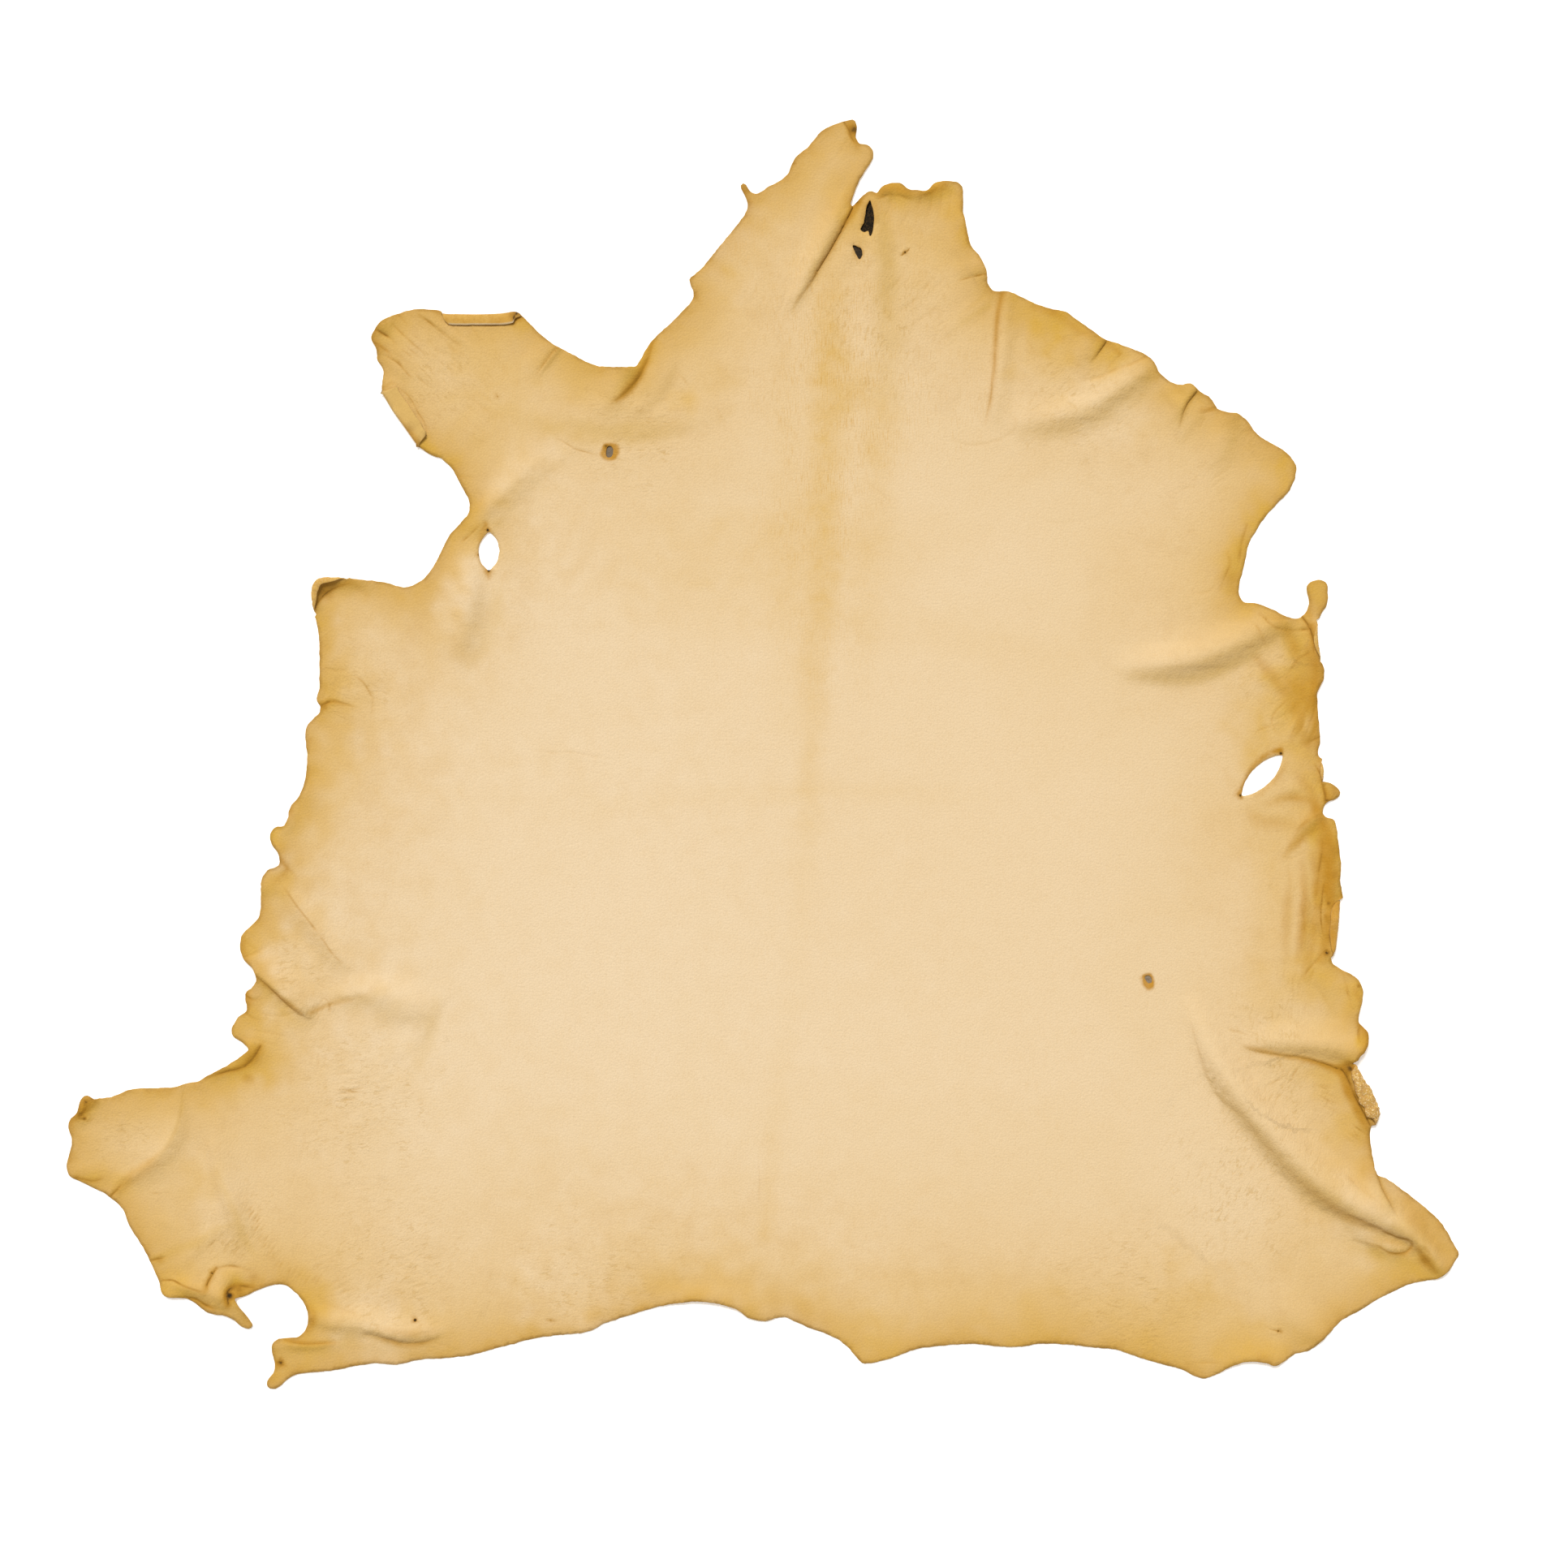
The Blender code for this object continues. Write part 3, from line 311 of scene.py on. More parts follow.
        (0.15, (492, -120, 0.1, 4), (493, -166, 0.4), (493, -188), (491, -212, 0.1)),
        (0.6, (474, 18, 0.1, 1.4), (470, 33, 0.5, 1.6), (480, 46, 0.6), (489, 53, 0.1, 1.5)),
        (0.5, (488, 27, 0.1, 1.4), (482, 37, 0.5, 1.5), (488, 46, 0.1, 1.4)),
        (0.4, (454, 18, 0.1, 1.4), (460, 23, 0.4, 1.6), (476, 27), (491, 27, 0.1, 1.5)),
        (0.4, (447, 134, 0.1, 1.6), (458, 128, 0.5, 1.8), (474, 124, 0.6), (492, 125, 0.2, 1.6)),
        (0.5, (512, -126, 0.1, 1.2), (514, -140, 0.6, 1.3), (513, -156, 0.5), (515, -170, 0.1, 1.2)),
        (0.3, (498, -112, 0.1, 1.6), (501, -130, 0.4, 1.8), (500, -156), (503, -174, 0.1, 1.6)),
        (0.25, (486, -70, 0.1, 2), (484, -90, 0.3, 2.2), (487, -120), (485, -150, 0.1, 2)),
    ),
    "leftFlank": (
        (0.6, (-441, -124, 0.6, 1.8), (-431, -139, 0.7, 1.6), (-416, -158, 0.7, 1.5), (-405, -173),
         (-394, -188, 0.5, 1.6), (-376, -201, 0.1, 1.8)),
        (0.6, (-421, -241, 0.5, 1.3), (-418, -235, 0.6), (-411, -233, 0.3), (-405, -225, 0.5),
         (-400, -233, 0.6, 1.4), (-400, -243, 0.1)),
        (0.35, (-409, -236, 0.1, 1.3), (-412, -247, 0.4, 1.4), (-421, -258, 0.1)),
        (0.3, (-407, -223, 0.2, 4), (-390, -227, 0.6, 4.6), (-375, -225, 0.6, 5), (-359, -219, 0.1)),
        (0.6, (-479, -188, 0.7, 2), (-469, -184, 0.6), (-457, -178, 0.1)),
        (0.5, (-443, -103, 0.7, 2), (-435, -109, 0.6), (-428, -120, 0.1)),
        (0.9, (-477, -224, 1, 2.4), (-469, -227, 0.6, 2), (-463, -226, 0.1)),
        (0.6, (-479, -238, 0.8, 1.8), (-469, -245, 0.4), (-462, -247, 0.1)),
        (0.55, (-384, 74, 0.1, 1.8), (-371, 68, 0.7, 1.7), (-364, 58, 0.8), (-360, 48, 0.6, 1.8),
         (-361, 36, 0.1)),
        (0.95, (-409, 44, 1.4, 2.6), (-397, 49, 1.2, 2), (-386, 46, 0.7, 1.8), (-372, 43, 0.1)),
        (0.4, (-404, 79, 0.5, 2), (-390, 77, 0.4), (-378, 80, 0.1)),
        (1, (-414, 136, 0.7, 4), (-405, 147, 1, 6), (-394, 154), (-382, 158, 0.5, 4)),
        (0.4, (-376, 153, 0.4, 4), (-363, 145, 0.2)),
        (0.4, (-462, -240, 0.3, 1.4), (-447, -242, 0.5, 1.5), (-432, -239, 0.1, 1.4)),
        (0.35, (-470, -256, 0.3, 1.4), (-452, -258, 0.4, 1.5), (-436, -262, 0.1, 1.4)),
        (0.3, (-478, -172, 0.4, 1.3), (-472, -178, 0.5, 1.4), (-466, -182, 0.1, 1.3)),
    ),
    "rightHindLeg": (
        (0.7, (534, -201, 0.3, 1.8), (537, -210, 0.8), (540, -219), (543, -235, 0.2, 2)),
        (0.35, (510, -212, 0.1, 5), (519, -226, 0.6, 6), (526, -238, 0.1, 5)),
        (0.6, (429, -254, 0.1, 1.6), (440, -257, 0.6, 1.8), (449, -260, 0.1, 1.6)),
        (0.5, (472, -281, 0.1, 1.1), (478, -289, 0.4, 1.2), (480, -298, 0.5), (472, -303, 0.4),
         (463, -309, 0.1)), (0.4, (480, -298, 0.4, 1.1), (489, -303), (496, -308, 0.1)),
        (0.25, (499, -288, 0.1, 1.1), (504, -297, 0.3, 1.2), (500, -308, 0.1)),
        (1, (534, -289, 1.2, 2.8), (539, -298, 1.6, 3.4), (543, -307, 1.6, 3.2), (548, -319, 1.6, 3),
         (554.5, -331, 1.6, 2.8), (560, -342, 1.2, 2.2)),
        # painted shade: a soft brown band along the foot of the thigh fold
        (0.16, (429, -324, 0.1, 3), (446, -337, 0.4, 4.4), (457, -352, 0.5, 5), (471, -368, 0.6, 5.6),
         (484, -383, 0.6, 6), (499, -397, 0.6, 6.4), (514, -409), (532, -421, 0.4, 6), (555, -431, 0.1, 4)),
        (0.4, (396, -250, 0.1, 1.5), (402, -272, 0.4, 1.7), (409, -294, 0.45, 1.8), (418, -312),
         (431, -326, 0.1)), (0.15, (540, -383, 0.1, 2.6), (562, -409, 0.3), (581, -428, 0.1)),
        (0.1, (422, -252, 0.1, 4), (442, -286, 0.3, 5), (454, -301, 0.1)),
        (0.6, (541, -425, 0.2, 1.8), (555, -431, 0.6, 2), (570, -438, 0.9)),
        (0.75, (557, -433, 0.2, 1.4), (570, -438.5, 0.8, 1.5), (585, -445, 1.1, 1.6), (594, -447, 1.2, 1.7),
         (599, -451, 1.2, 1.8), (597, -457), (590, -460.5, 1.2, 1.7), (579, -460, 1, 1.6),
         (570, -455, 0.7, 1.7), (559, -451, 0.4, 2), (546, -449, 0.1, 2.4)),
        (0.3, (603, -452, 0.3, 4), (610, -463, 0.8, 5), (618, -474), (624, -482, 0.4, 4)),
        (0.35, (533, -382, 0.1, 2), (544, -394, 0.5), (555, -404), (567, -413, 0.1)),
        (0.4, (540, -349, 0.1, 1.8), (549, -355, 0.5, 2), (554, -362, 0.1, 1.8)),
        (0.5, (606, -449, 0.3, 2), (614, -460, 0.8), (620, -472, 0.5)),
        (0.7, (463, -529, 0.1, 1), (471, -532, 0.6, 1.1), (477, -533, 0.8, 1.2)),
        (0.5, (397, -563, 0.1, 1.4), (412, -562, 0.5, 1.5), (427, -562, 0.1, 1.4)),
        (1, (551, -250, 0.6, 1.6), (550, -257, 1.3, 2), (549.5, -264, 0.8, 1.8)),
        (0.7, (560, -276, 0.5, 1.6), (553, -282, 0.8, 1.8), (546, -286, 0.5)),
        (0.4, (459, -252, 0.1, 1.3), (462, -264, 0.3, 1.4), (465, -275, 0.2)),
    ),
    "leftHindLeg": (
        (0.95, (-464, -270, 1, 3), (-471, -281, 1.3, 3.4), (-480, -289, 1.2, 3), (-495, -293, 1, 2.4),
         (-510, -298, 0.5, 2)),
        (0.3, (-535, -312, 0.2, 2.2), (-537, -330, 0.35, 2.6), (-543, -350, 0.4, 2.8), (-553, -366, 0.4, 3),
         (-570, -380), (-585, -389), (-599, -400, 0.3, 2.6)),
        (0.8, (-602, -408, 1, 2.4), (-594, -400, 0.7, 2.2), (-588, -392, 0.1, 2)),
        (0.8, (-634, -391, 0.9, 3), (-619, -394, 0.9, 3.4), (-607, -391, 0.1, 3)),
        (0.7, (-565, -405, 0.1, 1.3), (-561, -406, 0.6), (-557, -406, 0.1)),
        (0.9, (-553, -486, 1, 1.5), (-545, -486), (-536, -490, 0.9, 1.6), (-525, -494, 0.8),
         (-515, -497, 0.6, 1.8)),
        (1, (-504, -474, 1, 2), (-509, -482, 1.4, 2.3), (-513, -490, 1.2, 2.2), (-512, -497, 0.4, 1.8)),
        (1, (-568, -468, 1.2, 2.4), (-556, -466, 0.8, 2.2), (-549, -464, 0.1, 2)),
        (1, (-493, -506, 1.4, 3.4), (-495, -498, 1.5, 4), (-491, -493, 1.5, 4.4), (-483, -491, 1.3, 4),
         (-471, -493, 0.8, 3)),
        (0.85, (-534, -501, 0.9, 2.2), (-523, -503, 1.1, 2.6), (-516, -508, 1), (-508, -512, 0.5, 2)),
        (0.6, (-505, -475, 0.6, 2.2), (-491, -473, 0.8, 2.4), (-478, -476, 0.5, 2.8), (-468, -480, 0.1, 3)),
        (0.3, (-406, -507, 0.2, 4), (-390, -512, 0.6), (-374, -518, 0.1)),
        (1, (-449, -562, 1.2, 3.2), (-443, -564, 0.9, 3)),
        (0.4, (-480, -262, 0.4, 1.6), (-466, -264, 0.5), (-448, -270, 0.1, 1.4)),
        (1, (-493, -507, 1.5, 3.6), (-494, -499, 1.6, 4.2), (-490, -494, 1.4, 3.4), (-482, -491, 0.8, 2.6)),
        (0.3, (-421, -345, 0.1, 1.3), (-424, -361, 0.3, 1.4), (-428, -378), (-439, -406, 0.1, 1.3)),
        (0.9, (-630, -334, 0.7, 1.6), (-626, -328, 1.1, 1.8), (-624, -321, 0.9, 1.7),
         (-617, -319, 0.5, 1.5)), (0.7, (-631, -336, 0.6, 1.6), (-622, -339, 0.5), (-616, -334, 0.1, 1.4)),
        (0.3, (-508, -449, 0.1, 1.6), (-500, -451, 0.5, 1.8), (-491, -453, 0.1, 1.6)),
    ),
    "rump": (
        (0.4, (-301, -544, 0.5, 1.8), (-285, -550, 0.1)),
        (0.3, (-20, -430, 0.1, 1.4), (-10, -445, 0.3), (4, -460, 0.1)),
        (0.5, (-315, -527, 0.5, 1.6), (-318, -531, 0.4, 1.8), (-326, -533, 0.1, 1.6)),
    ),
    "back": (
        (0.25, (90, 254, 0.1, 1.6), (105, 243, 0.3, 1.8), (120, 232, 0.1, 1.6)),
        (0.3, (-217, 4, 0.1, 1.8), (-195, 1, 0.3), (-176, 1, 0.35), (-157, -2, 0.3), (-137, -5, 0.1)),
        (0.5, (-4, -374, 0.1, 1.2), (-3, -395, 0.3, 1.3), (-4, -418, 0.1, 1.2)),
    ),
}

# Sets of fine wrinkles side by side. Columns: x, y of the middle, lie of the whole set, lie of one wrinkle,
# count, spacing, length, how brown, depth.
hatches = {
    "shank": (-462, -444, -60, 55, 17, 4.2, 12, 0.65, 0.8),
    "shankFoot": (-425, -480, -25, 60, 8, 4.6, 12, 0.47, 0.65),
    "shankInner": (-495, -452, -10, 48, 6, 5, 13, 0.49, 0.65),
    "rump": (-326, -478, -72, 20, 8, 6.5, 22, 0.34, 0.53),
    "rumpSide": (-385, -500, -60, 28, 6, 6, 17, 0.38, 0.57),
    "bellyLines": (-382, -307, -85, 4, 6, 4.6, 25, 0.57, 0.68),
    "bellyFoot": (-366, -404, -90, 3, 5, 5.5, 18, 0.3, 0.49),
    "bellyFolds": (-411, -283, 0, 82, 3, 5.5, 18, 0.42, 0.61),
    "flankLines": (-408, -236, 0, 70, 4, 5, 14, 0.57, 0.65),
    "hipLines": (520, -316, -80, -22, 6, 4.4, 15, 0.65, 0.68),
    "hipFan": (484, -292, -30, 55, 6, 4.2, 11, 0.57, 0.68),
    "hipCorner": (547, -352, 60, -38, 4, 4.5, 14, 0.75, 0.76),
    "hipTop": (486, -238, 0, 84, 6, 6, 17, 0.3, 0.49),
    "thighSide": (418, -300, -60, 70, 5, 6, 12, 0.3, 0.46),
    "tipLines": (-296, 372, 50, -42, 9, 8, 30, 0.38, 0.57),
    "tipFine": (-328, 372, 55, -38, 6, 5.5, 16, 0.57, 0.68),
    "wristLines": (-262, 312, 60, -36, 5, 9, 26, 0.27, 0.46),
    "neckSide": (140, 432, 0, 52, 6, 8, 20, 0.34, 0.49),
    "neckRays": (168, 396, -70, 40, 6, 7, 22, 0.27, 0.49),
    "neckLines": (0, 420, -40, 62, 5, 9, 20, 0.23, 0.38),
    "edgeLines": (497, 24, -15, 66, 5, 6, 20, 0.57, 0.65),
    "edgeLow": (507, -128, 0, 86, 4, 6.5, 34, 0.49, 0.61),
    "edgeFoot": (492, -205, 0, 78, 5, 6.5, 24, 0.38, 0.57),
    "slotLines": (476, 44, -60, 30, 4, 6, 18, 0.27, 0.46),
    "sideLines": (-396, 58, 0, 78, 5, 7, 24, 0.27, 0.46),
    "hockLines": (-600, -352, -85, 6, 6, 7, 26, 0.23, 0.38),
    "shoulderLines": (250, 372, 10, -58, 5, 8, 24, 0.27, 0.46),
    "foreLines": (420, 258, -50, 35, 5, 8, 26, 0.23, 0.38),
}

# Brown marks; where they are strong they turn near black, painted shadow in pits and notches. Columns: x,
# y, radius, strength.
marks = {
    "neck": (
        (-17, 520, 7, 0.5), (84, 577, 8.5, 1.2), (86, 510, 7, 1.1), (187, 500, 5, 0.6), (190, 480, 5, 0.5),
        (28, 546, 5, 0.6), (-13, 509, 6, 0.5), (131.5, 463, 2.8, 1.4),
    ),
    "leftShoulder": (
        (-245, 330, 1.6, 0.8), (-331, 296, 8, 0.4), (-228, 407, 9, 1), (-231, 398, 5, 0.7),
        (-63, 421, 5, 0.5), (-253, 207, 4, 0.6), (-228, 404, 6, 0.8), (-144.5, 284, 4.2, 1.1),
        (-66, 441, 5, 0.6), (-63, 425, 5, 0.6), (-228, 414, 8.5, 1.25), (-226, 409, 6, 1.2),
        (-254, 206.8, 3, 1.6),
    ),
    "rightShoulder": ((268, 410, 7, 0.4), (452, 300, 10, 0.25)),
    "rightFlank": (
        (433, 160, 18, 0.3), (505, 12, 12, 0.45), (527, -36, 9, 0.5), (528, -112, 8, 0.6),
        (527, -88, 14, 0.35), (524, -168, 8, 0.8), (520, -150, 4, 0.6), (505, 118, 9, 0.35),
        (478, 2, 4, 0.6), (440, -37, 4, 0.6), (478.4, 0.6, 3, 1.5), (441, -38, 3, 1.5), (521, -43, 5, 1.1),
        (522, -138, 3.4, 1), (528, -140, 3.4, 1), (529, -153, 4.4, 0.9), (524, -168, 4.4, 1.1),
        (521, -184, 5, 1.2),
    ),
    "leftFlank": (
        (-404, 150, 13, 0.62), (-405, 44, 7, 0.6), (-446, -100, 8, 0.4), (-437, -52, 6, 0.5),
        (-252, 168, 4, 0.5), (-253.5, 169.2, 3, 1.6), (-262.6, 184, 2.4, 1.1), (-479, -222, 4, 1),
    ),
    "rightHindLeg": (
        (476, -533, 2.4, 1.3), (540, -288, 9, 1), (533, -290, 8, 0.5), (462, -561, 12, 0.3),
        # the wide faint marks at 606, -436 and 626, -462 are painted shade beyond the thigh's tip
        (550, -214, 4, 0.8), (541, -290, 7, 1.2), (606, -436, 26, 0.16), (626, -462, 18, 0.14),
        (611, -467, 9, 0.5),
    ),
    "leftHindLeg": (
        (-470, -280, 16, 0.35), (-484, -494, 9, 0.8), (-470, -484, 9, 0.35), (-452, -578, 10, 0.2),
        (-625, -321, 5, 1.1), (-629.5, -332, 4.5, 1.1), (-446, -562, 5, 1.2), (-418, -522, 6, 0.5),
        (-557, -467, 6, 0.5), (-475, -300, 9, 0.4), (-492, -500, 7, 1.25), (-619, -317, 3.4, 1),
        (-626, -336, 3.4, 1.1), (-508, -479, 3.4, 1.2),
    ),
    "rump": ((-321, -523, 3, 1.6), (-196, -523, 2.6, 0.7)),
}

# Edges that lie turned over onto the grain, outward on the left of the path.
# Columns: x, y, width of the strip, radius, turn in degrees, share of the height kept.
turns = {
    "forelegTop": {"pale": 0, "raw": 0.7, "fuzz": 0.1, "rows": (
        (-297, 406.5, 0, 1.3, 178, 1), (-292.5, 405.7, 9), (-287, 405.5, 11.9, 1.3, 180),
        (-262, 405.3, 11.7), (-243, 406, 12.4), (-235, 407, 13, 1.5, 178), (-229, 407.5, 12, 1.6, 176),
        (-225, 406, 7, 1.6, 174), (-222, 403, 0, 1.6, 170))},
    "forelegSide": {"pale": 1, "raw": 0, "fuzz": 0, "rows": (
        (-318.4, 284.6, 0, 1.2, 178, 1), (-319.6, 286.6, 11, 1.2, 179), (-322, 290.2, 15.6, 1.2, 180),
        (-331, 303, 16.4), (-341, 317), (-348, 328.5, 16.2, 1.2, 179), (-350.4, 332.4, 15.6, 1.2, 178),
        (-351, 333.4, 0, 1.2, 176))},
    "elbowLip": {"pale": 0.2, "raw": 0, "fuzz": 0.3, "rows": (
        (-413, 128, 0, 1.6, 150, 1), (-415, 140, 7, 1.9, 168), (-415, 153, 10, 2.1, 176), (-409, 161),
        (-396, 162, 7, 1.9, 165), (-382, 162, 0, 1.6, 150))},
    "flankFingers": {"pale": 0, "raw": 0, "fuzz": 0.3, "rows": (
        (532, -133, 0, 1.5, 160, 1), (531.5, -139, 8, 1.7, 176), (530.5, -152, 11, 1.8, 182),
        (529.5, -165, 10), (528, -178, 8, 1.8, 172), (525, -189, 0, 1.5, 160))},
    "hipRoll": {"pale": 0.2, "raw": 0, "fuzz": 1, "rows": (
        (545, -284, 0, 2.8, 170, 0.6), (549, -292, 17, 4.8, 206, 0.48), (555, -303, 26, 6.4, 228, 0.42),
        (562, -314, 29, 6.8, 232, 0.38), (567, -325), (568, -335, 24, 6, 222, 0.42),
        (563, -345, 0, 2.8, 170, 0.6))},
    "forelegEdge": {"pale": 0.3, "raw": 0, "fuzz": 0.2, "rows": (
        (512, 124, 0, 1.3, 150, 1), (511, 112, 5, 1.4, 168), (512, 99, 6), (515, 84, 0, 1.3, 150))},
    "flankNotch": {"pale": 0.2, "raw": 0, "fuzz": 0.3, "rows": (
        (515, -6, 0, 1.3, 150, 1), (517, -12, 5, 1.4, 165), (517, -20), (516, -28, 0, 1.3, 150))},
}

# Small torn holes as loops of x and y, and the tone of the leaf of painted shadow set under each, from dark
# to pale.
tornHoles = {
    "neckLarge": {"tone": 0, "rows": (
        (98.9, 511), (101.6, 504), (102.6, 497), (102.4, 488), (100.8, 480), (98.6, 477.5),
        (97.2, 482.4), (93.6, 481.6), (89.6, 484.4), (92.4, 489.6), (94.2, 497), (95.6, 505))},
    "neckSmall": {"tone": 0.08, "rows": (
        (83, 469.5), (88.5, 468), (91.5, 466), (92, 460.5), (89, 456.5), (85.5, 462))},
    "shoulder": {"tone": 0.75, "rows": (
        (-145, 281), (-143, 284.3), (-139.8, 284), (-138, 281), (-138.4, 277.3), (-140.6, 274.2),
        (-143.6, 274), (-145.2, 277.4))},
    "thigh": {"tone": 1, "rows": (
        (352.5, -208), (353.5, -205), (357, -204.6), (359.4, -207.5), (359.3, -211.5), (356, -212))},
}

# Golden rings round the holes: x, y, half-length, half-width, lie in degrees, strength.
rings = {
    "shoulder": (-141, 279, 10.4, 9.4, 30, 1), "thigh": (356, -210, 9.6, 6.6, 105, 1),
    "neckLarge": (98, 497, 18, 9, 80, 0.35), "neckSmall": (88, 463, 8, 6.5, 110, 0.4),
}

# Fine wrinkles over an area. Columns: x, y, radius, height, lie in degrees, spacing.
crimps = {
    "belly": (-370, -318, 95, 0.22, 8, 7), "rump": (-345, -470, 100, 0.22, 22, 6.5),
    "shank": (-488, -450, 62, 0.14, 56, 6.5), "hipUpper": (470, -250, 60, 0.26, 88, 6.5),
    "hipLower": (488, -312, 62, 0.22, 55, 7), "thigh": (455, -395, 110, 0.14, 60, 8),
    "flank": (508, -40, 62, 0.44, 70, 7.5), "foreRight": (478, 72, 60, 0.36, 35, 7.5),
    "neck": (110, 395, 95, 0.2, 80, 9), "foreLeft": (-300, 350, 75, 0.26, -45, 8),
    "shoulderLeft": (-120, 300, 70, 0.2, 5, 8), "elbow": (-380, 60, 60, 0.22, -20, 8),
    "legTip": (-590, -350, 55, 0.1, 0, 9), "rumpRight": (340, -525, 110, 0.2, 5, 9),
    "shoulderRight": (290, 330, 80, 0.2, 30, 9), "flankLeft": (-430, -200, 60, 0.24, 10, 7.5),
    "rumpMiddle": (-150, -500, 110, 0.16, 5, 9), "flankLow": (506, -150, 48, 0.42, 86, 7.5),
    "pawRoot": (498, 96, 34, 0.4, 60, 7), "noseRight": (452, 300, 44, 0.26, 50, 8),
}

# Golden stains. Columns: x, y, radius, strength.
stains = {
    "neck": (
        (10, 470, 50, 0.04), (-32, 448, 12, 0.4), (-40, 345, 34, 0.2), (84, 575, 14, 0.8),
        (126, 522, 22, 0.8), (162, 522, 20, 0.8), (176, 505, 20, 0.5), (192, 480, 20, 0.6),
        (80, 500, 16, 0.6), (92, 480, 24, 0.4), (80, 345, 44, 0.35), (150, 470, 44, 0.25),
        (67, 524, 30, 0.2),
    ),
    "leftShoulder": (
        (-270, 206, 30, 0.65), (-280, 226, 18, 0.6), (-320, 283, 24, 1), (-298, 262, 30, 0.7),
        (-226, 402, 18, 0.8), (-170, 356, 40, 0.35), (-250, 352, 60, 0.32), (-240, 300, 60, 0.2),
        (-112, 362, 20, 0.6), (-104, 380, 14, 0.6), (-345, 390, 26, 0.4), (-72, 327, 16, 0.6),
    ),
    "rightShoulder": (
        (272, 400, 40, 0.85), (240, 410, 24, 0.5), (322, 372, 34, 0.7), (268, 368, 30, 0.3),
        (228, 350, 14, 0.3), (385, 330, 26, 0.4), (482, 262, 26, 0.8), (464, 218, 28, 0.8),
    ),
    "rightFlank": (
        (440, 180, 32, 0.7), (450, 148, 30, 0.5), (512, 150, 20, 0.7), (500, 104, 30, 0.7),
        (500, 62, 34, 0.85), (488, 42, 36, 0.6), (462, 8, 26, 0.4), (492, 0, 22, 0.5), (512, -34, 26, 0.7),
        (524, -78, 28, 1), (526, -104, 24, 0.9), (520, -134, 26, 0.8), (518, -165, 22, 0.8),
        (510, -205, 40, 0.6), (440, -60, 90, 0.12), (470, 40, 60, 0.35), (455, -8, 18, 0.5),
        (478, 70, 26, 0.5),
    ),
    "leftFlank": (
        (-452, -75, 26, 0.8), (-468, -172, 30, 0.35), (-448, -125, 26, 0.45), (-476, -182, 16, 0.5),
        (-462, -250, 42, 0.48), (-392, 70, 50, 0.28), (-414, -10, 50, 0.35), (-407, 122, 34, 0.5),
        (-404, 48, 24, 0.5), (-436, -60, 36, 0.4), (-330, 162, 34, 0.35), (-253, 190, 16, 0.3),
    ),
    "rightHindLeg": (
        (545, -225, 24, 0.7), (470, -220, 40, 0.25), (556, -266, 14, 1), (538, -292, 18, 0.9),
        (520, -302, 26, 0.4), (552, -325, 22, 0.5), (536, -345, 28, 0.5), (625, -470, 26, 0.03),
        (600, -490, 50, 0.1), (606, -478, 20, 0.4), (445, -550, 50, 0.5), (360, -560, 60, 0.4),
        (397, -503, 54, 0.35), (590, -470, 40, 0.5), (500, -450, 60, 0.1),
    ),
    "leftHindLeg": (
        (-456, -282, 34, 0.38), (-474, -290, 30, 0.8), (-500, -306, 30, 0.4), (-420, -552, 30, 0.5),
        (-452, -568, 24, 0.5), (-412, -505, 24, 0.6), (-486, -494, 20, 1), (-545, -492, 30, 0.6),
        (-540, -450, 40, 0.15), (-512, -402, 24, 0.2), (-528, -392, 34, 0.3), (-500, -404, 50, 0.05),
        (-628, -326, 18, 0.8), (-615, -392, 20, 0.4), (-592, -396, 16, 0.5), (-560, -312, 40, 0.2),
        (-430, -500, 30, 0.4),
    ),
    "rump": (
        (100, -548, 50, 0.5), (250, -548, 70, 0.35), (-15, -514, 34, 0.25), (-60, -510, 60, 0.2),
        (-180, -540, 50, 0.1),
    ),
    "back": ((90, 300, 60, 0.15),),
}
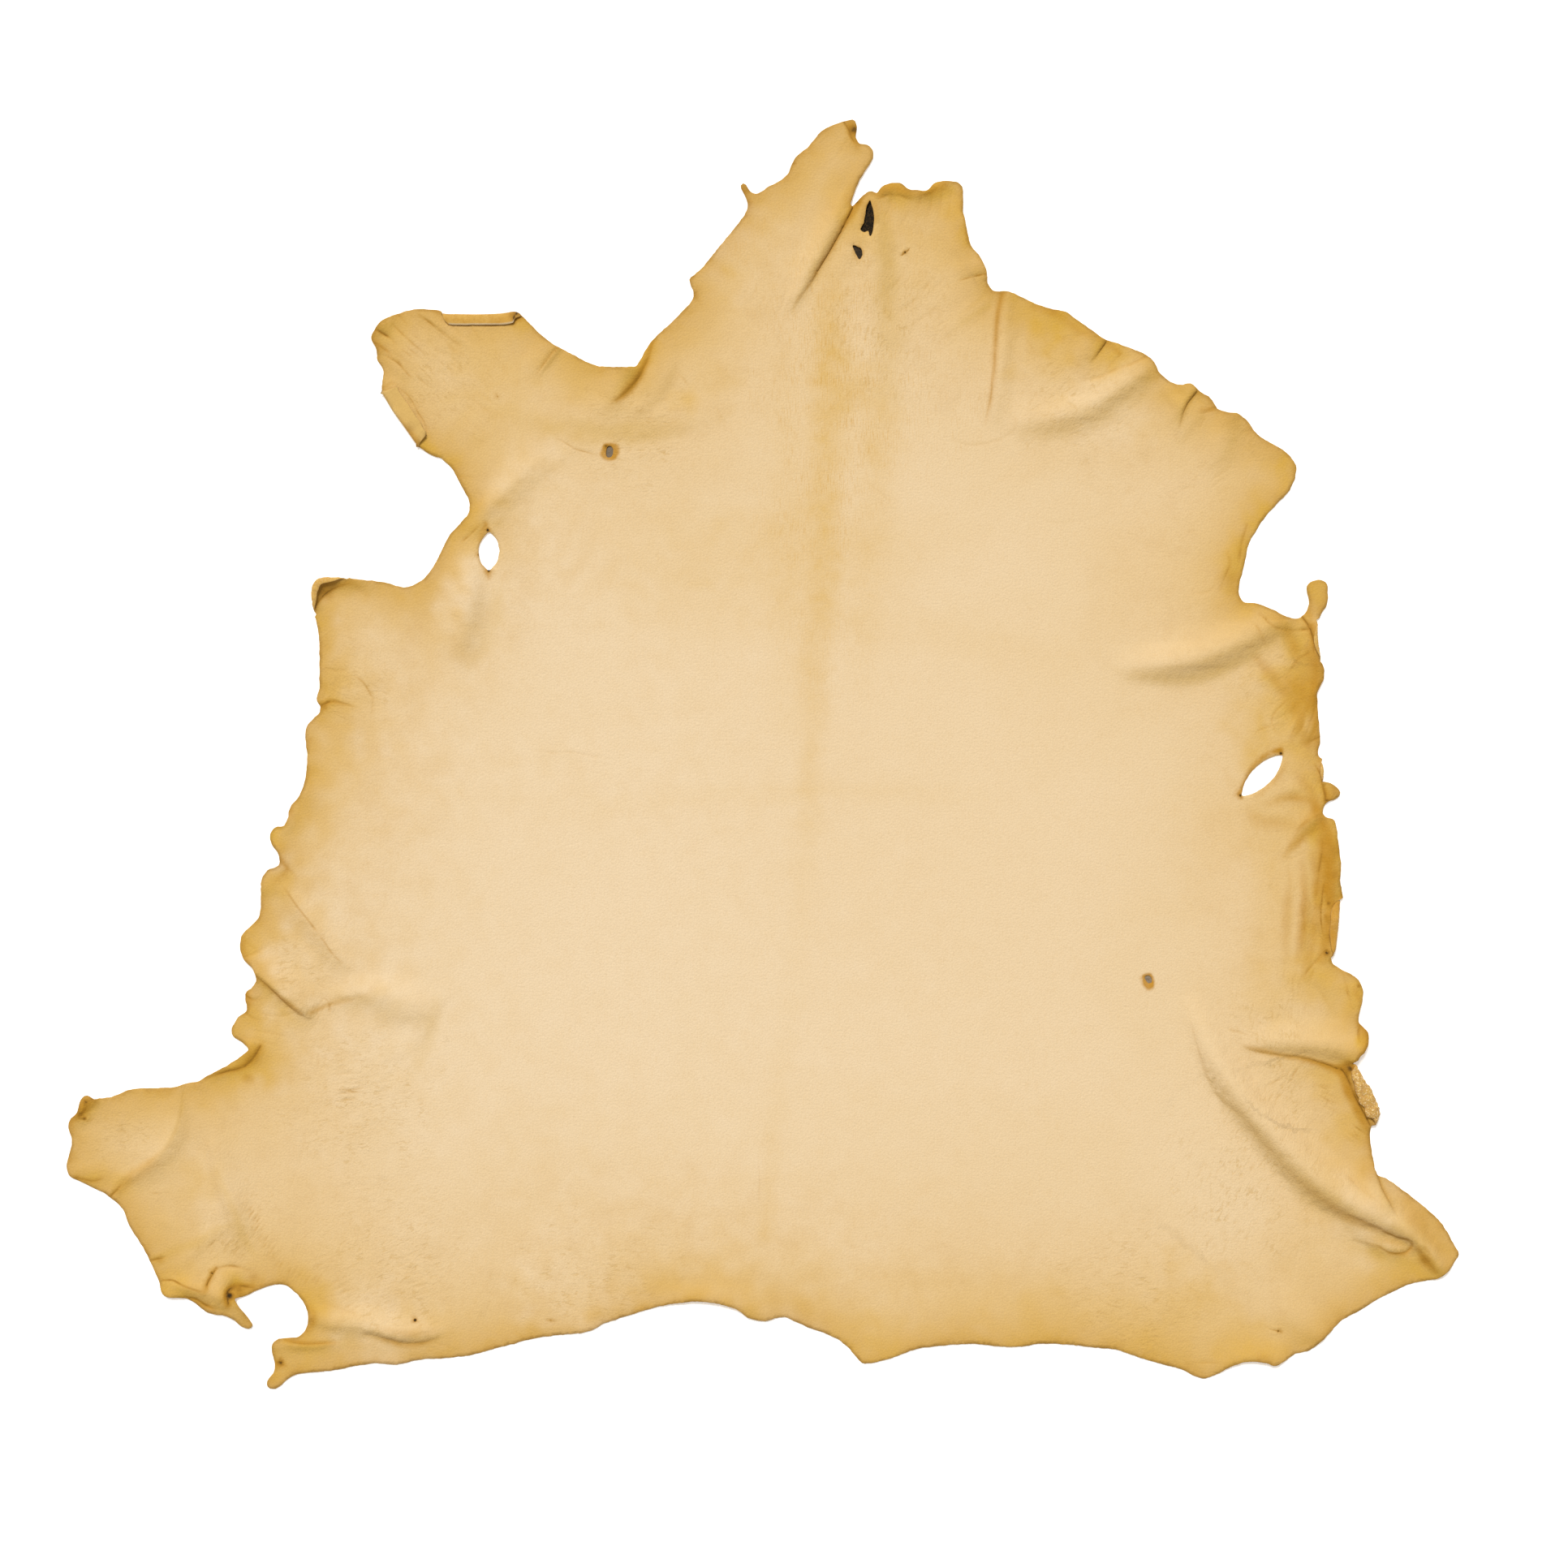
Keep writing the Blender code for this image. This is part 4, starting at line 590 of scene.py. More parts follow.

# Painted golden-brown shade along hollows and on the shaded sides of folds. Columns: x, y, strength,
# half-width.
paintedShadeHollows = {
    "neck": (
        ((110, 497, 0.6, 9), (114, 470, 0.9, 15), (116, 440, 0.85, 19), (116, 400, 0.7, 20),
         (116, 360, 0.45), (114, 320, 0.15, 18)),
        ((140, 470, 0.1, 10), (138, 430, 0.2, 14), (134, 390, 0.15), (130, 350, 0)),
        ((176, 392, 0.1, 5), (190, 402, 0.4), (208, 414)),
        ((182, 404, 0.1, 4), (194, 414, 0.3), (206, 424)),
        ((45, 430, 0.2, 3), (62, 458, 0.3, 4), (80, 490, 0.35, 5), (88, 510, 0.6, 6)),
    ),
    "leftShoulder": (
        ((-104, 382, 0.4, 5), (-109, 364, 0.8, 7), (-119, 349, 0.9, 8), (-131, 336, 0.8),
         (-143, 324, 0.2, 6)),
        ((-116, 380, 0.2, 12), (-124, 360, 0.4, 15), (-138, 342, 0.3, 14), (-156, 328, 0.1, 12)),
        ((-255, 329, 0.1, 10), (-217, 307, 0.45, 14), (-150, 296, 0.75, 17), (-105, 299, 0.6, 16),
         (-70, 306, 0.15, 12)),
    ),
    "rightShoulder": (
        ((362, 352, 0.1, 8), (344, 344, 0.1, 9), (327, 325, 0.15, 11), (307, 310, 0.15, 12),
         (277, 300, 0.1, 11), (243, 297, 0.1, 10)),
        ((285, 412, 0.2, 14), (272, 400, 0.5, 18), (258, 385, 0.2, 14)),
    ),
    "rightFlank": (
        ((320, 80, 0.05, 7), (345, 72, 0.2, 8), (390, 69, 0.35, 9), (420, 78), (443, 89, 0.3, 8),
         (458, 101, 0.1, 7)), ((452, 210, 0.4, 6), (440, 190, 0.6, 9), (432, 170), (428, 152, 0.4, 8)),
        ((500, 90, 0.5, 12), (500, 66, 0.6, 15), (490, 44, 0.4, 14), (478, 22, 0.2, 10)),
        ((508, -60, 0.4, 8), (508, -84, 0.6), (508, -110, 0.5, 7), (509, -136, 0.4, 6)),
        ((474, 122, 0.2, 10), (488, 106, 0.9, 14), (496, 88, 0.8, 13), (500, 70, 0.3, 10)),
        ((490, 14, 0.2, 4), (498, 30, 0.7, 5), (506, 44, 0.2, 4)),
        ((505, 12, 0.2, 4), (511, 28, 0.7), (516, 42, 0.2, 3)),
        ((468, -44, 0.1, 6), (488, -38, 0.55, 7), (508, -42, 0.4, 6)),
        ((482, -94, 0.2, 5), (496, -76, 0.7, 6), (514, -64, 0.5, 5)),
        ((502, -104, 0.2, 5), (504, -138, 0.6), (500, -172), (500, -190, 0.1, 4)),
        ((489, -118, 0.1, 6), (486, -150, 0.4, 7), (484, -188, 0.1, 6)),
        ((450, -52, 0.1, 8), (468, -60, 0.35, 10), (486, -62, 0.1, 8)),
        ((452, 84, 0.1, 6), (468, 70, 0.45, 7), (482, 56, 0.3, 6), (490, 40, 0.1, 5)),
    ),
    "leftFlank": (
        ((-243, 158, 0.2, 8), (-246, 136, 0.45, 11), (-252, 108, 0.45, 12), (-266, 89, 0.35, 11),
         (-280, 72, 0.1, 9)),
        ((-416, 140, 0.6, 8), (-404, 150, 0.8, 9), (-384, 156, 0.4, 8), (-364, 150, 0.1, 7)),
        ((-461, -214, 0.3, 5), (-448, -231, 0.5, 7), (-432, -246), (-416, -252, 0.3, 6)),
        ((-418, -238, 0.3, 4), (-399, -230, 0.3, 5), (-365, -224, 0.25, 6), (-338, -213, 0.1)),
        ((-408, 42, 0.6, 6), (-394, 48, 0.4, 7), (-376, 44, 0.1, 6)),
    ),
    "rightHindLeg": (
        ((405, -277, 0.075, 4), (413, -302, 0.11, 5), (430, -324, 0.15), (447, -338, 0.21, 6),
         (458, -353, 0.26, 6.5), (474, -371, 0.3, 7.5), (492, -391, 0.32, 8.5), (512, -407, 0.34, 9),
         (534, -422), (556, -434, 0.3, 8), (574, -442, 0.15, 5)),
        ((604, -452, 0.3, 5), (611, -464, 0.9, 8), (619, -475, 1), (626, -483, 0.5, 6)),
        ((536, -450, 0.2, 9), (568, -463, 0.65, 11), (600, -472, 0.8, 10), (614, -482, 0.3, 7)),
        ((568, -390, 0.6, 5), (571, -402, 0.6, 6), (576, -413, 0.3)),
        ((448, -272, 0.2, 3), (470, -277, 0.4, 4), (498, -281, 0.5, 4.5), (522, -289, 0.6, 6),
         (536, -296, 0.8, 7)), ((538, -300, 0.8, 7), (544, -318), (553, -336, 0.6)),
        ((500, -213, 0.1, 8), (520, -226, 0.5, 9), (526, -240, 0.3)),
        ((562, -398, 0.3, 14), (584, -418, 0.7, 20), (604, -434, 0.8), (626, -456, 0.6, 14)),
        ((470, -283, 0.1, 6), (500, -290, 0.15, 8), (525, -300, 0.3, 9), (540, -318, 0.3, 8)),
        ((556, -446, 0.2, 5), (572, -448, 0.6, 5.5), (586, -450), (594, -453, 0.3, 4)),
    ),
    "leftHindLeg": (
        ((-535, -312, 0.2, 3.4), (-537, -330, 0.35, 3.8), (-543, -350, 0.4, 4.2), (-553, -366, 0.4, 4.4),
         (-570, -380, 0.4, 4.6), (-585, -389, 0.4, 5), (-598, -398, 0.3, 4)),
        ((-632, -396, 0.3, 6), (-619, -392, 0.7, 8), (-607, -388, 0.3, 7)),
        ((-503, -384, 0.1, 4), (-494, -408, 0.35, 5), (-486, -428, 0.45, 5.5), (-480, -446, 0.45, 6),
         (-470, -462, 0.25)),
        ((-486, -433, 0.2, 5), (-502, -438, 0.5, 6), (-520, -449, 0.6, 7), (-544, -460, 0.65, 8),
         (-560, -468, 0.8, 7)), ((-508, -476, 0.6, 4), (-512, -486, 0.7), (-514, -494, 0.4)),
        ((-492, -505, 0.8, 5), (-494, -496, 1, 6), (-488, -491), (-472, -490, 0.8, 7)),
        ((-540, -502, 0.6, 5), (-526, -504, 0.8, 6), (-514, -511, 0.6)),
        ((-445, -540, 0.4, 5), (-420, -546, 0.6), (-392, -544, 0.3, 6), (-372, -546, 0.1)),
        ((-418, -512, 0.4, 6), (-412, -524, 0.6, 7), (-420, -534, 0.4, 6)),
        ((-462, -266, 0.3, 8), (-472, -282, 0.8, 10), (-490, -292, 0.6, 8), (-508, -298, 0.3, 6)),
    ),
    "rump": (
        ((-384, -534, 0.1, 4), (-360, -537, 0.2, 5), (-341, -544, 0.4, 6), (-326, -546),
         (-307, -543, 0.2, 5)), ((-330, -556, 0.1, 5), (-300, -553, 0.3, 6), (-275, -548, 0.1, 5)),
    ),
    "back": (
        ((-300, -225, 0.1, 8), (-303, -245, 0.4, 10), (-311, -271), (-326, -301, 0.1, 9)),
    ),
}

# Faint golden bands dyed into the grain. Columns: x, y, strength, half-width.
bands = {
    "neck": (
        ((-60, 380, 0.08, 14), (-20, 440, 0.08, 16), (20, 500, 0.12), (50, 550, 0.2, 14)),
    ),
    "rightFlank": (
        ((450, 20, 0.1, 30), (470, -80, 0.2, 34), (470, -160, 0.16, 30), (450, -220, 0.06, 26)),
    ),
    "leftFlank": (
        ((-380, 60, 0.14, 22), (-396, -20, 0.16, 24), (-410, -90, 0.12, 20)),
    ),
    "rump": (
        ((-100, -480, 0.02, 26), (0, -480, 0.08, 30), (160, -490, 0.12), (330, -510, 0.12, 26)),
    ),
    "back": (
        ((62, 470, 0.1, 20), (60, 400, 0.42, 27), (60, 330, 0.48), (58, 240, 0.5, 25), (54, 150, 0.4, 23),
         (48, 60, 0.3, 21), (44, -40, 0.18, 18), (30, -200, 0.05, 16), (10, -340, 0.12, 14),
         (4, -440, 0.2)), ((20, 360, 0.1, 30), (26, 250, 0.2, 34), (26, 140, 0.16, 32), (24, 30, 0.08, 28)),
        ((112, 330, 0.2, 26), (104, 240, 0.2, 30), (96, 150, 0.14, 28), (90, 60, 0.06, 24)),
        ((-170, 150, 0, 40), (-60, 140, 0.14, 44), (60, 130, 0.14, 42), (180, 106, 0.1, 30),
         (280, 90, 0.04, 24)),
        ((-140, 190, 0.06, 50), (-30, 190, 0.22, 60), (80, 190, 0.2), (170, 200, 0.06, 50)),
        ((-200, -60, 0.04, 18), (-60, -40, 0.1, 16), (80, -34, 0.12), (200, -40, 0.04)),
    ),
}

# Deep golden-brown where the edge is drawn together or a fold pinches: partly the leather's own stain,
# partly painted shade in the pinch. Columns: x, y, strength, half-width.
ambers = {
    "neck": (
        ((90, 515, 0.9, 6), (85, 506, 1, 7.5), (78, 494, 0.9, 6), (70, 481, 0.7, 4.5), (56, 456, 0.5, 3.2),
         (42, 434, 0.2, 3)), ((80, 582, 0.9, 5), (84, 572, 0.9, 6), (87, 562, 0.6, 4)),
        ((-18, 526, 0.8, 4), (-17, 518, 0.5)),
        ((106, 518, 0.6, 7), (118, 522, 0.9, 9), (130, 520, 0.8, 7), (142, 517, 0.4, 5), (154, 520, 0.8, 7),
         (166, 525, 0.7)), ((186, 508, 0.3, 4), (188, 495, 0.6), (190, 482, 0.5), (194, 468, 0.3, 3)),
    ),
    "leftShoulder": (
        ((-101, 384, 0.7, 4), (-106, 368, 0.9, 5.5), (-113, 352, 1, 6.5), (-121, 341, 1, 7),
         (-129, 332, 0.9, 6), (-141, 322, 0.1, 4)),
        ((-336, 308, 0.3, 3), (-330, 299, 0.7, 5), (-321, 286, 0.9, 7)),
        ((-233, 405, 0.4, 6), (-228, 405, 1, 9), (-222, 403, 0.4, 6)),
        ((-360, 396, 0.4, 5), (-358, 382, 0.5), (-352, 372, 0.3, 4)),
        ((-340, 410, 0.2, 4), (-318, 414, 0.3), (-302, 410, 0.4)),
        ((-298, 412, 0.35, 9), (-262, 413, 0.3), (-236, 414, 0.55), (-226, 413, 0.9)),
    ),
    "rightShoulder": (
        ((250, 412, 0.3, 5), (268, 408, 0.5, 7), (286, 396, 0.4, 6), (312, 382, 0.3, 5),
         (330, 371, 0.5, 4)), ((404, 318, 0.4, 4), (416, 319, 0.6)),
        ((221, 425, 0.6, 5), (216, 397, 0.6, 4.5), (214, 362, 0.5, 4), (211, 332, 0.4, 3),
         (206, 306, 0.1, 2.5)),
    ),
    "rightFlank": (
        ((508, -50, 0.4, 7), (516, -62, 0.8, 10), (520, -80, 1, 13), (522, -104), (523, -128, 1, 11),
         (522, -150, 0.9, 10), (520, -172, 0.8, 9), (516, -190, 0.5, 6)),
        ((506, 98, 0.4, 8), (506, 80, 0.5, 14), (502, 60, 0.5, 15), (494, 42, 0.3, 12)),
        ((506, 118, 0.6, 6), (508, 104, 0.5)),
        ((439.6, -37, 1, 4.2), (446.8, -22, 1, 3.8), (453.4, -11), (466.4, 0.2, 1, 4), (478, 3.6, 1, 4.2)),
        ((516, -24, 0.5, 4), (520, -36, 0.8, 5), (522, -46, 0.6)),
        ((536, -134, 0.8, 9), (538, -152, 0.7, 10), (536, -170, 0.8), (531, -190, 0.9, 9)),
        ((482, 70, 0.2, 6), (490, 48, 0.5, 8), (496, 26, 0.4), (500, 10, 0.2, 7)),
        ((504, 96, 0.3, 8), (514, 72, 0.8, 11), (511, 50, 0.7, 10), (508, 30, 0.3, 8)),
        ((494, -20, 0.2, 7), (510, -44, 0.5, 9), (504, -62, 0.4, 8), (488, -80, 0.2, 7)),
        ((508, -92, 0.3, 7), (512, -120, 0.6, 8), (510, -150), (506, -180, 0.4), (500, -205, 0.2, 7)),
        ((484, 70, 0.2, 12), (496, 58, 0.5, 16), (503, 40, 0.3, 12)),
        ((488, 12, 0.2, 4), (496, 28, 0.6, 5), (504, 46, 0.5, 4), (508, 58, 0.1)),
        ((503, 8, 0.2, 4), (510, 26, 0.6, 4.5), (516, 42, 0.2, 4)),
        ((464, -46, 0.1, 6), (486, -40, 0.5, 7), (506, -44, 0.5, 6), (520, -56, 0.2, 5)),
        ((478, -98, 0.1, 5), (492, -82, 0.6, 6), (510, -68, 0.5)),
        ((498, -100, 0.2, 6), (500, -138, 0.6, 7), (497, -172), (494, -192, 0.1, 5)),
        ((487, -112, 0.1, 6), (484, -150, 0.35, 8), (482, -190, 0.1, 6)),
        ((444, -56, 0.1, 8), (466, -64, 0.35, 11), (488, -66, 0.2, 9)),
        ((452, 92, 0.1, 6), (468, 76, 0.5, 8), (480, 58), (486, 40, 0.2, 6)),
        ((470, 128, 0.1, 7), (484, 112, 0.5, 9), (492, 94, 0.5, 10), (494, 78, 0.2, 8)),
        ((452, 146, 0.3, 4), (476, 138, 0.5), (496, 134, 0.6, 5), (506, 128, 0.5)),
        ((511, 92, 0.5, 4), (510, 70, 0.7), (508, 50, 0.6), (510, 30, 0.5), (512, 12), (514, -6, 0.4)),
        ((482, -6, 0.1, 4), (480, -14, 0.4), (470, -28), (456, -38, 0.3)),
    ),
    "leftFlank": (
        ((-414, 136, 0.5, 4), (-410, 150, 0.8, 6), (-398, 157, 0.7), (-380, 158, 0.4, 5),
         (-366, 152, 0.1, 4)), ((-410, 43, 0.9, 6), (-400, 48, 0.6, 5), (-386, 46, 0.2, 4)),
        ((-256, 212, 0.8, 4.2), (-260.5, 200, 0.5, 3.6), (-260.5, 180), (-254, 165, 0.7, 4.2)),
        ((-446, -96, 0.4, 4), (-439, -106, 0.5), (-450, -118, 0.2)),
        ((-480, -170, 0.3, 4), (-480, -184, 0.5, 5), (-474, -192, 0.3, 4)),
        ((-478, -222, 0.7, 5), (-474, -232, 0.6), (-480, -240, 0.5, 4)),
        ((-418, 14, 0.3, 4), (-422, 2), (-434, -40), (-440, -62, 0.4, 5)),
        ((-469, -204, 0.3, 3), (-446, -222, 0.5), (-426, -239, 0.4)),
        ((-417, -239, 0.5, 3), (-399, -231, 0.4, 3.5), (-380, -228, 0.2, 3)),
    ),
    "rightHindLeg": (
        ((518, -285, 0.4, 4), (531, -290, 0.9, 6.5), (541, -291, 1, 10)),
        ((444, -270, 0.1, 3), (460, -274, 0.5, 4), (480, -278, 0.6, 5), (500, -281, 0.75, 5.5),
         (522, -288, 1, 6.5), (534, -293, 1.1, 7.5)),
        ((598, -456, 0.6, 4), (592, -461, 0.5), (578, -461, 0.4, 3)),
        ((505, -402, 0.1, 5), (530, -420, 0.3, 7), (556, -434, 0.4), (575, -441, 0.3, 4)),
        ((546, -218, 0.5, 4), (552, -230, 0.4, 5), (556, -246, 0.3, 4)),
        ((604, -456, 0.4, 5), (612, -467, 0.8, 6), (620, -477, 0.7, 5)),
        ((533, -291, 0.9, 7), (539, -305, 1, 8), (545, -320), (551, -333, 1, 7.5), (558, -345, 0.7, 5)),
        ((551, -300, 0.5, 5), (555, -312, 0.6, 6), (560, -324), (564, -336, 0.5, 5)),
        ((552, -249, 0.9, 9), (559, -258, 1, 12), (559, -270, 1, 11), (553, -282, 0.9, 9)),
        ((578, -404, 0.1, 12), (600, -426, 0.3, 15), (618, -446, 0.28, 12), (628, -458, 0.1, 8)),
        ((556, -446, 0.1, 5), (575, -449, 0.25, 6), (592, -452, 0.2, 5)),
        ((560, -348, 0.3, 4), (561, -362, 0.3, 5), (562, -380, 0.1, 4)),
    ),
    "leftHindLeg": (
        ((-462, -268, 0.4, 5), (-472, -281, 0.7, 7), (-484, -290, 0.6, 6), (-502, -295, 0.4, 5),
         (-520, -298, 0.2, 4)),
        ((-494, -508, 0.9, 6), (-494, -497, 1), (-488, -491, 0.9, 5), (-472, -490, 0.3)),
        ((-420, -510, 0.3, 5), (-414, -520, 0.6, 6), (-420, -532, 0.5, 5)),
        ((-452, -564, 0.9, 6), (-441, -564, 0.5, 5)),
        ((-640, -338, 0.7, 7), (-630, -328, 1, 10), (-618, -320, 0.7, 8)),
        ((-494, -503, 0.6, 5), (-480, -496, 0.5, 7), (-462, -492, 0.4, 6), (-448, -489, 0.2, 5)),
        ((-535, -503, 0.4, 4), (-522, -506, 0.6, 5), (-508, -512, 0.5)),
        ((-506, -475, 0.5, 4), (-511, -486, 0.6), (-516, -496, 0.5)),
        ((-440, -541, 0.5, 4), (-420, -544, 0.6), (-396, -544, 0.3)),
        ((-556, -372, 0.1, 7), (-574, -386, 0.35, 9), (-590, -398, 0.35, 8), (-604, -408, 0.1, 6)),
    ),
    "rump": (
        ((-362, -537, 0.1, 3), (-345, -541, 0.5, 4.5), (-330, -545, 0.6, 5.5), (-314, -544, 0.5, 5),
         (-302, -540, 0.1, 4)), ((-356, -530, 0.1, 4), (-338, -533, 0.3), (-318, -535), (-304, -533, 0.1)),
    ),
}

# Where the hair streaks show. Columns: x, y, radius, strength.
hairs = {
    "neck": (
        (70, 400, 90, 0.8), (58, 330, 90, 0.9), (130, 490, 70, 0.5), (0, 470, 80, 0.3), (160, 330, 90, 0.3),
        (84, 346, 70, 0.8),
    ),
    "leftShoulder": ((-250, 350, 90, 0.2),),
    "back": ((56, 220, 80, 0.7), (52, 110, 70, 0.4), (58, 250, 50, 0.6), (106, 300, 70, 0.6)),
}

# Paler areas. Columns: x, y, radius, strength.
pales = {
    "neck": ((-15, 462, 55, 0.3),),
    "leftShoulder": ((-214, 240, 60, 0.35),),
    "rightShoulder": ((322, 322, 60, 0.35),),
    "leftFlank": (
        (-362, 97, 50, 0.25), (-380, -130, 60, 0.25), (-262, 150, 36, 0.4), (-444, -193, 26, 0.35),
        (-275, 148, 30, 0.3), (-445, -228, 26, 0.3),
    ),
    "rightHindLeg": ((563, -425, 60, 0.35),),
    "leftHindLeg": ((-504, -420, 34, 0.2),),
    "rump": ((-180, -490, 80, 0.4), (-350, -532, 60, 0.4)),
    "back": ((-190, -130, 330, 0.55), (-190, 130, 130, 0.45), (0, -330, 260, 0.3)),
}


def spanPoint(before, start, end, after, share):  # a place on the smooth curve from start to end
    bend = 2.0 * before - 5.0 * start + 4.0 * end - after
    turn = 3.0 * (start - end) + after - before
    return start + 0.5 * share * ((end - before) + share * (bend + share * turn))


def listed(table):  # the rows of every region in one list
    return [row for rows in table.values() for row in rows]


def filled(rows):  # puts back the columns that a path leaves out
    whole = [tuple(rows[0])]
    for row in rows[1:]:
        whole.append((*row, *whole[-1][len(row):]))
    return np.array(whole, float)


def smoothPath(rows, step):  # an open curve through the rows, other columns carried along
    rows = filled(rows)
    ends = np.vstack([2 * rows[0] - rows[1], rows, 2 * rows[-1] - rows[-2]])
    made = []
    for i in range(1, len(rows)):
        around = ends[i - 1:i + 3]
        pieces = max(1, round(np.linalg.norm(around[2, :2] - around[1, :2]) / step))
        made += [spanPoint(*around, k / pieces) for k in range(pieces)]
    made = np.array(made + [rows[-1]])
    made[:, 2:] = np.maximum(made[:, 2:], 0.0)
    return made


def smoothLoop(points, step):  # a closed curve, cut into even steps
    count, cuts = len(points), 8
    dense = []
    for i in range(count):
        around = [points[(i + k) % count] for k in (-1, 0, 1, 2)]
        dense += [spanPoint(*around, k / cuts) for k in range(cuts)]
    dense = np.array(dense)
    closed = np.vstack([dense, dense[:1]])
    length = np.concatenate([[0], np.cumsum(np.linalg.norm(np.diff(closed, axis=0), axis=1))])
    places = np.linspace(0, length[-1], max(8, round(length[-1] / step)), endpoint=False)
    return np.column_stack([np.interp(places, length, closed[:, k]) for k in (0, 1)])


def solidRims(node):  # the loops round the solid's grain side, outline first, in millimetres
    mesh = bmesh.new()
    mesh.from_mesh(node.data)
    bmesh.ops.remove_doubles(mesh, verts=mesh.verts, dist=1e-6)
    mesh.normal_update()
    after = {}
    steep = 0.25
    for edge in mesh.edges:
        if len(edge.link_faces) != 2:
            continue
        up = [face.normal.z > steep for face in edge.link_faces]
        side = [abs(face.normal.z) < steep for face in edge.link_faces]
        if any(up) and any(side):
            grain = edge.link_faces[up.index(True)]
            loop = [one for one in edge.link_loops if one.face == grain][0]
            after[loop.vert] = loop.link_loop_next.vert
    loops = []
    while after:
        first, here = next(iter(after.items()))
        chain = [first]
        del after[first]
        while here in after:
            chain.append(here)
            here = after.pop(here)
        if here == first and len(chain) > 5:
            loops.append(np.array([(v.co.x, v.co.y) for v in chain]) / mm)
    mesh.free()
    return sorted(loops, key=lambda loop: -len(loop))


def unit(runs):  # each row at a length of one
    return runs / np.maximum(np.linalg.norm(runs, axis=1), 1e-9)[:, None]


def leftOf(runs):  # unit vectors to the left of each row
    ahead = unit(runs)
    return np.column_stack([-ahead[:, 1], ahead[:, 0]])


def lengthOf(away):
    return np.hypot(away[:, 0], away[:, 1])


def loopOut(loop):  # unit vectors off the leather, all round a loop
    return -leftOf(np.roll(loop, -1, axis=0) - np.roll(loop, 1, axis=0))


def loopArea(loop):  # above zero when the loop runs anticlockwise
    x, y = loop[:, 0], loop[:, 1]
    return 0.5 * np.sum(x * np.roll(y, -1) - np.roll(x, -1) * y)


def nearestOnPath(points, path):  # distance, signed side, carried columns and foot of each point
    starts, ends = path[:-1, :2], path[1:, :2]
    best = np.full(len(points), 1e9)
    place = np.zeros(len(points))
    side = np.ones(len(points))
    for i in range(len(starts)):
        run = ends[i] - starts[i]
        away = points - starts[i]
        share = np.clip(away @ run / max(run @ run, 1e-9), 0, 1)
        gap = np.linalg.norm(away - share[:, None] * run, axis=1)
        near = gap < best - 1e-9
        best[near] = gap[near]
        place[near] = i + share[near]
        side[near] = np.where(run[0] * away[near, 1] - run[1] * away[near, 0] >= 0, 1, -1)
    low = np.minimum(place.astype(int), len(starts) - 1)
    share = (place - low)[:, None]
    carried = path[low] * (1 - share) + path[low + 1] * share
    return best, side, carried, leftOf(ends[low] - starts[low]), place


def closeTo(points, path, reach):  # which points are worth measuring against a path
    low, high = path[:, :2].min(0) - reach, path[:, :2].max(0) + reach
    return np.where(((points > low) & (points < high)).all(axis=1))[0]


def bump(share):  # 1 in the middle, falling smoothly to 0 at either side
    return (1.0 - np.clip(share, -1, 1) ** 2) ** 2


def foldProfile(share, lee):  # rounded where it faces the lamp, with a firmer foot in its lee
    share = np.clip(share, 0, 1)
    return (1 - lee) * bump(share) + lee * (1 - share ** 4) ** 2


def cusp(share):  # 1 on the line itself, falling sharply beside it
    return (1.0 - np.clip(share, 0, 1)) ** 2


def wander(points, size, seed):  # smooth noise, about -1 to 1
    return np.array([noise.noise((x / size, y / size, seed)) for x, y in points]) * 1.6


def foldPath(rows, step):  # a turned edge's fold line, drawn in by its radius
    path = smoothPath(rows, step)
    path[:, :2] -= pathLeft(path) * path[:, 3:4]
    return path


def pathLeft(path):  # unit vectors to the left of the path
    return leftOf(np.gradient(path[:, :2], axis=0))


def turnRim(loop):  # the flat pattern: the rim let out where it will be turned over
    let = loop.copy()
    reach, slack, endGap = 14, 4.5, 0.02
    for turn in turns.values():
        path = foldPath(turn["rows"], step=2.0)
        near = closeTo(loop, path, reach)
        if not len(near):
            continue
        gap, _, carried, left, place = nearestOnPath(loop[near], path)
        good = (gap < slack + carried[:, 3]) & (place > endGap) & (place < len(path) - 1 - endGap)
        rough = 0.10 * min(1, 0.4 + turn["fuzz"]) * (1 - 0.9 * turn["raw"])
        rough = 1 + rough * wander(loop[near], size=7.0, seed=3.3)
        let[near[good]] = carried[good, :2] + left[good] * (carried[good, 2] * rough[good])[:, None]
    return let


def crossings(loops, y):  # where the rims cross one line across the hide
    found = []
    for loop in loops:
        low, high = loop, np.roll(loop, -1, axis=0)
        hit = (low[:, 1] > y) != (high[:, 1] > y)
        span = (y - low[hit, 1]) / (high[hit, 1] - low[hit, 1])
        found.append(low[hit, 0] + span * (high[hit, 0] - low[hit, 0]))
    return np.sort(np.concatenate(found))


def offsetRows(path, reach, shares):  # copies of the path, each a share of the reach to its left
    left = pathLeft(path)
    return [path[:, :2] + left * (share * reach)[:, None] for share in shares]


def heading(degrees):  # the way a lie points, seen from above
    return np.array([math.cos(math.radians(degrees)), math.sin(math.radians(degrees))])


def turnedTo(away, degrees):  # places along and across a lie
    along = heading(degrees)
    return away @ along, away @ (-along[1], along[0])


def aroundPlace(x, y, radius, count):  # points evenly round a place
    around = np.linspace(0, 2 * math.pi, count, endpoint=False)
    return np.column_stack([x + radius * np.cos(around), y + radius * np.sin(around)])


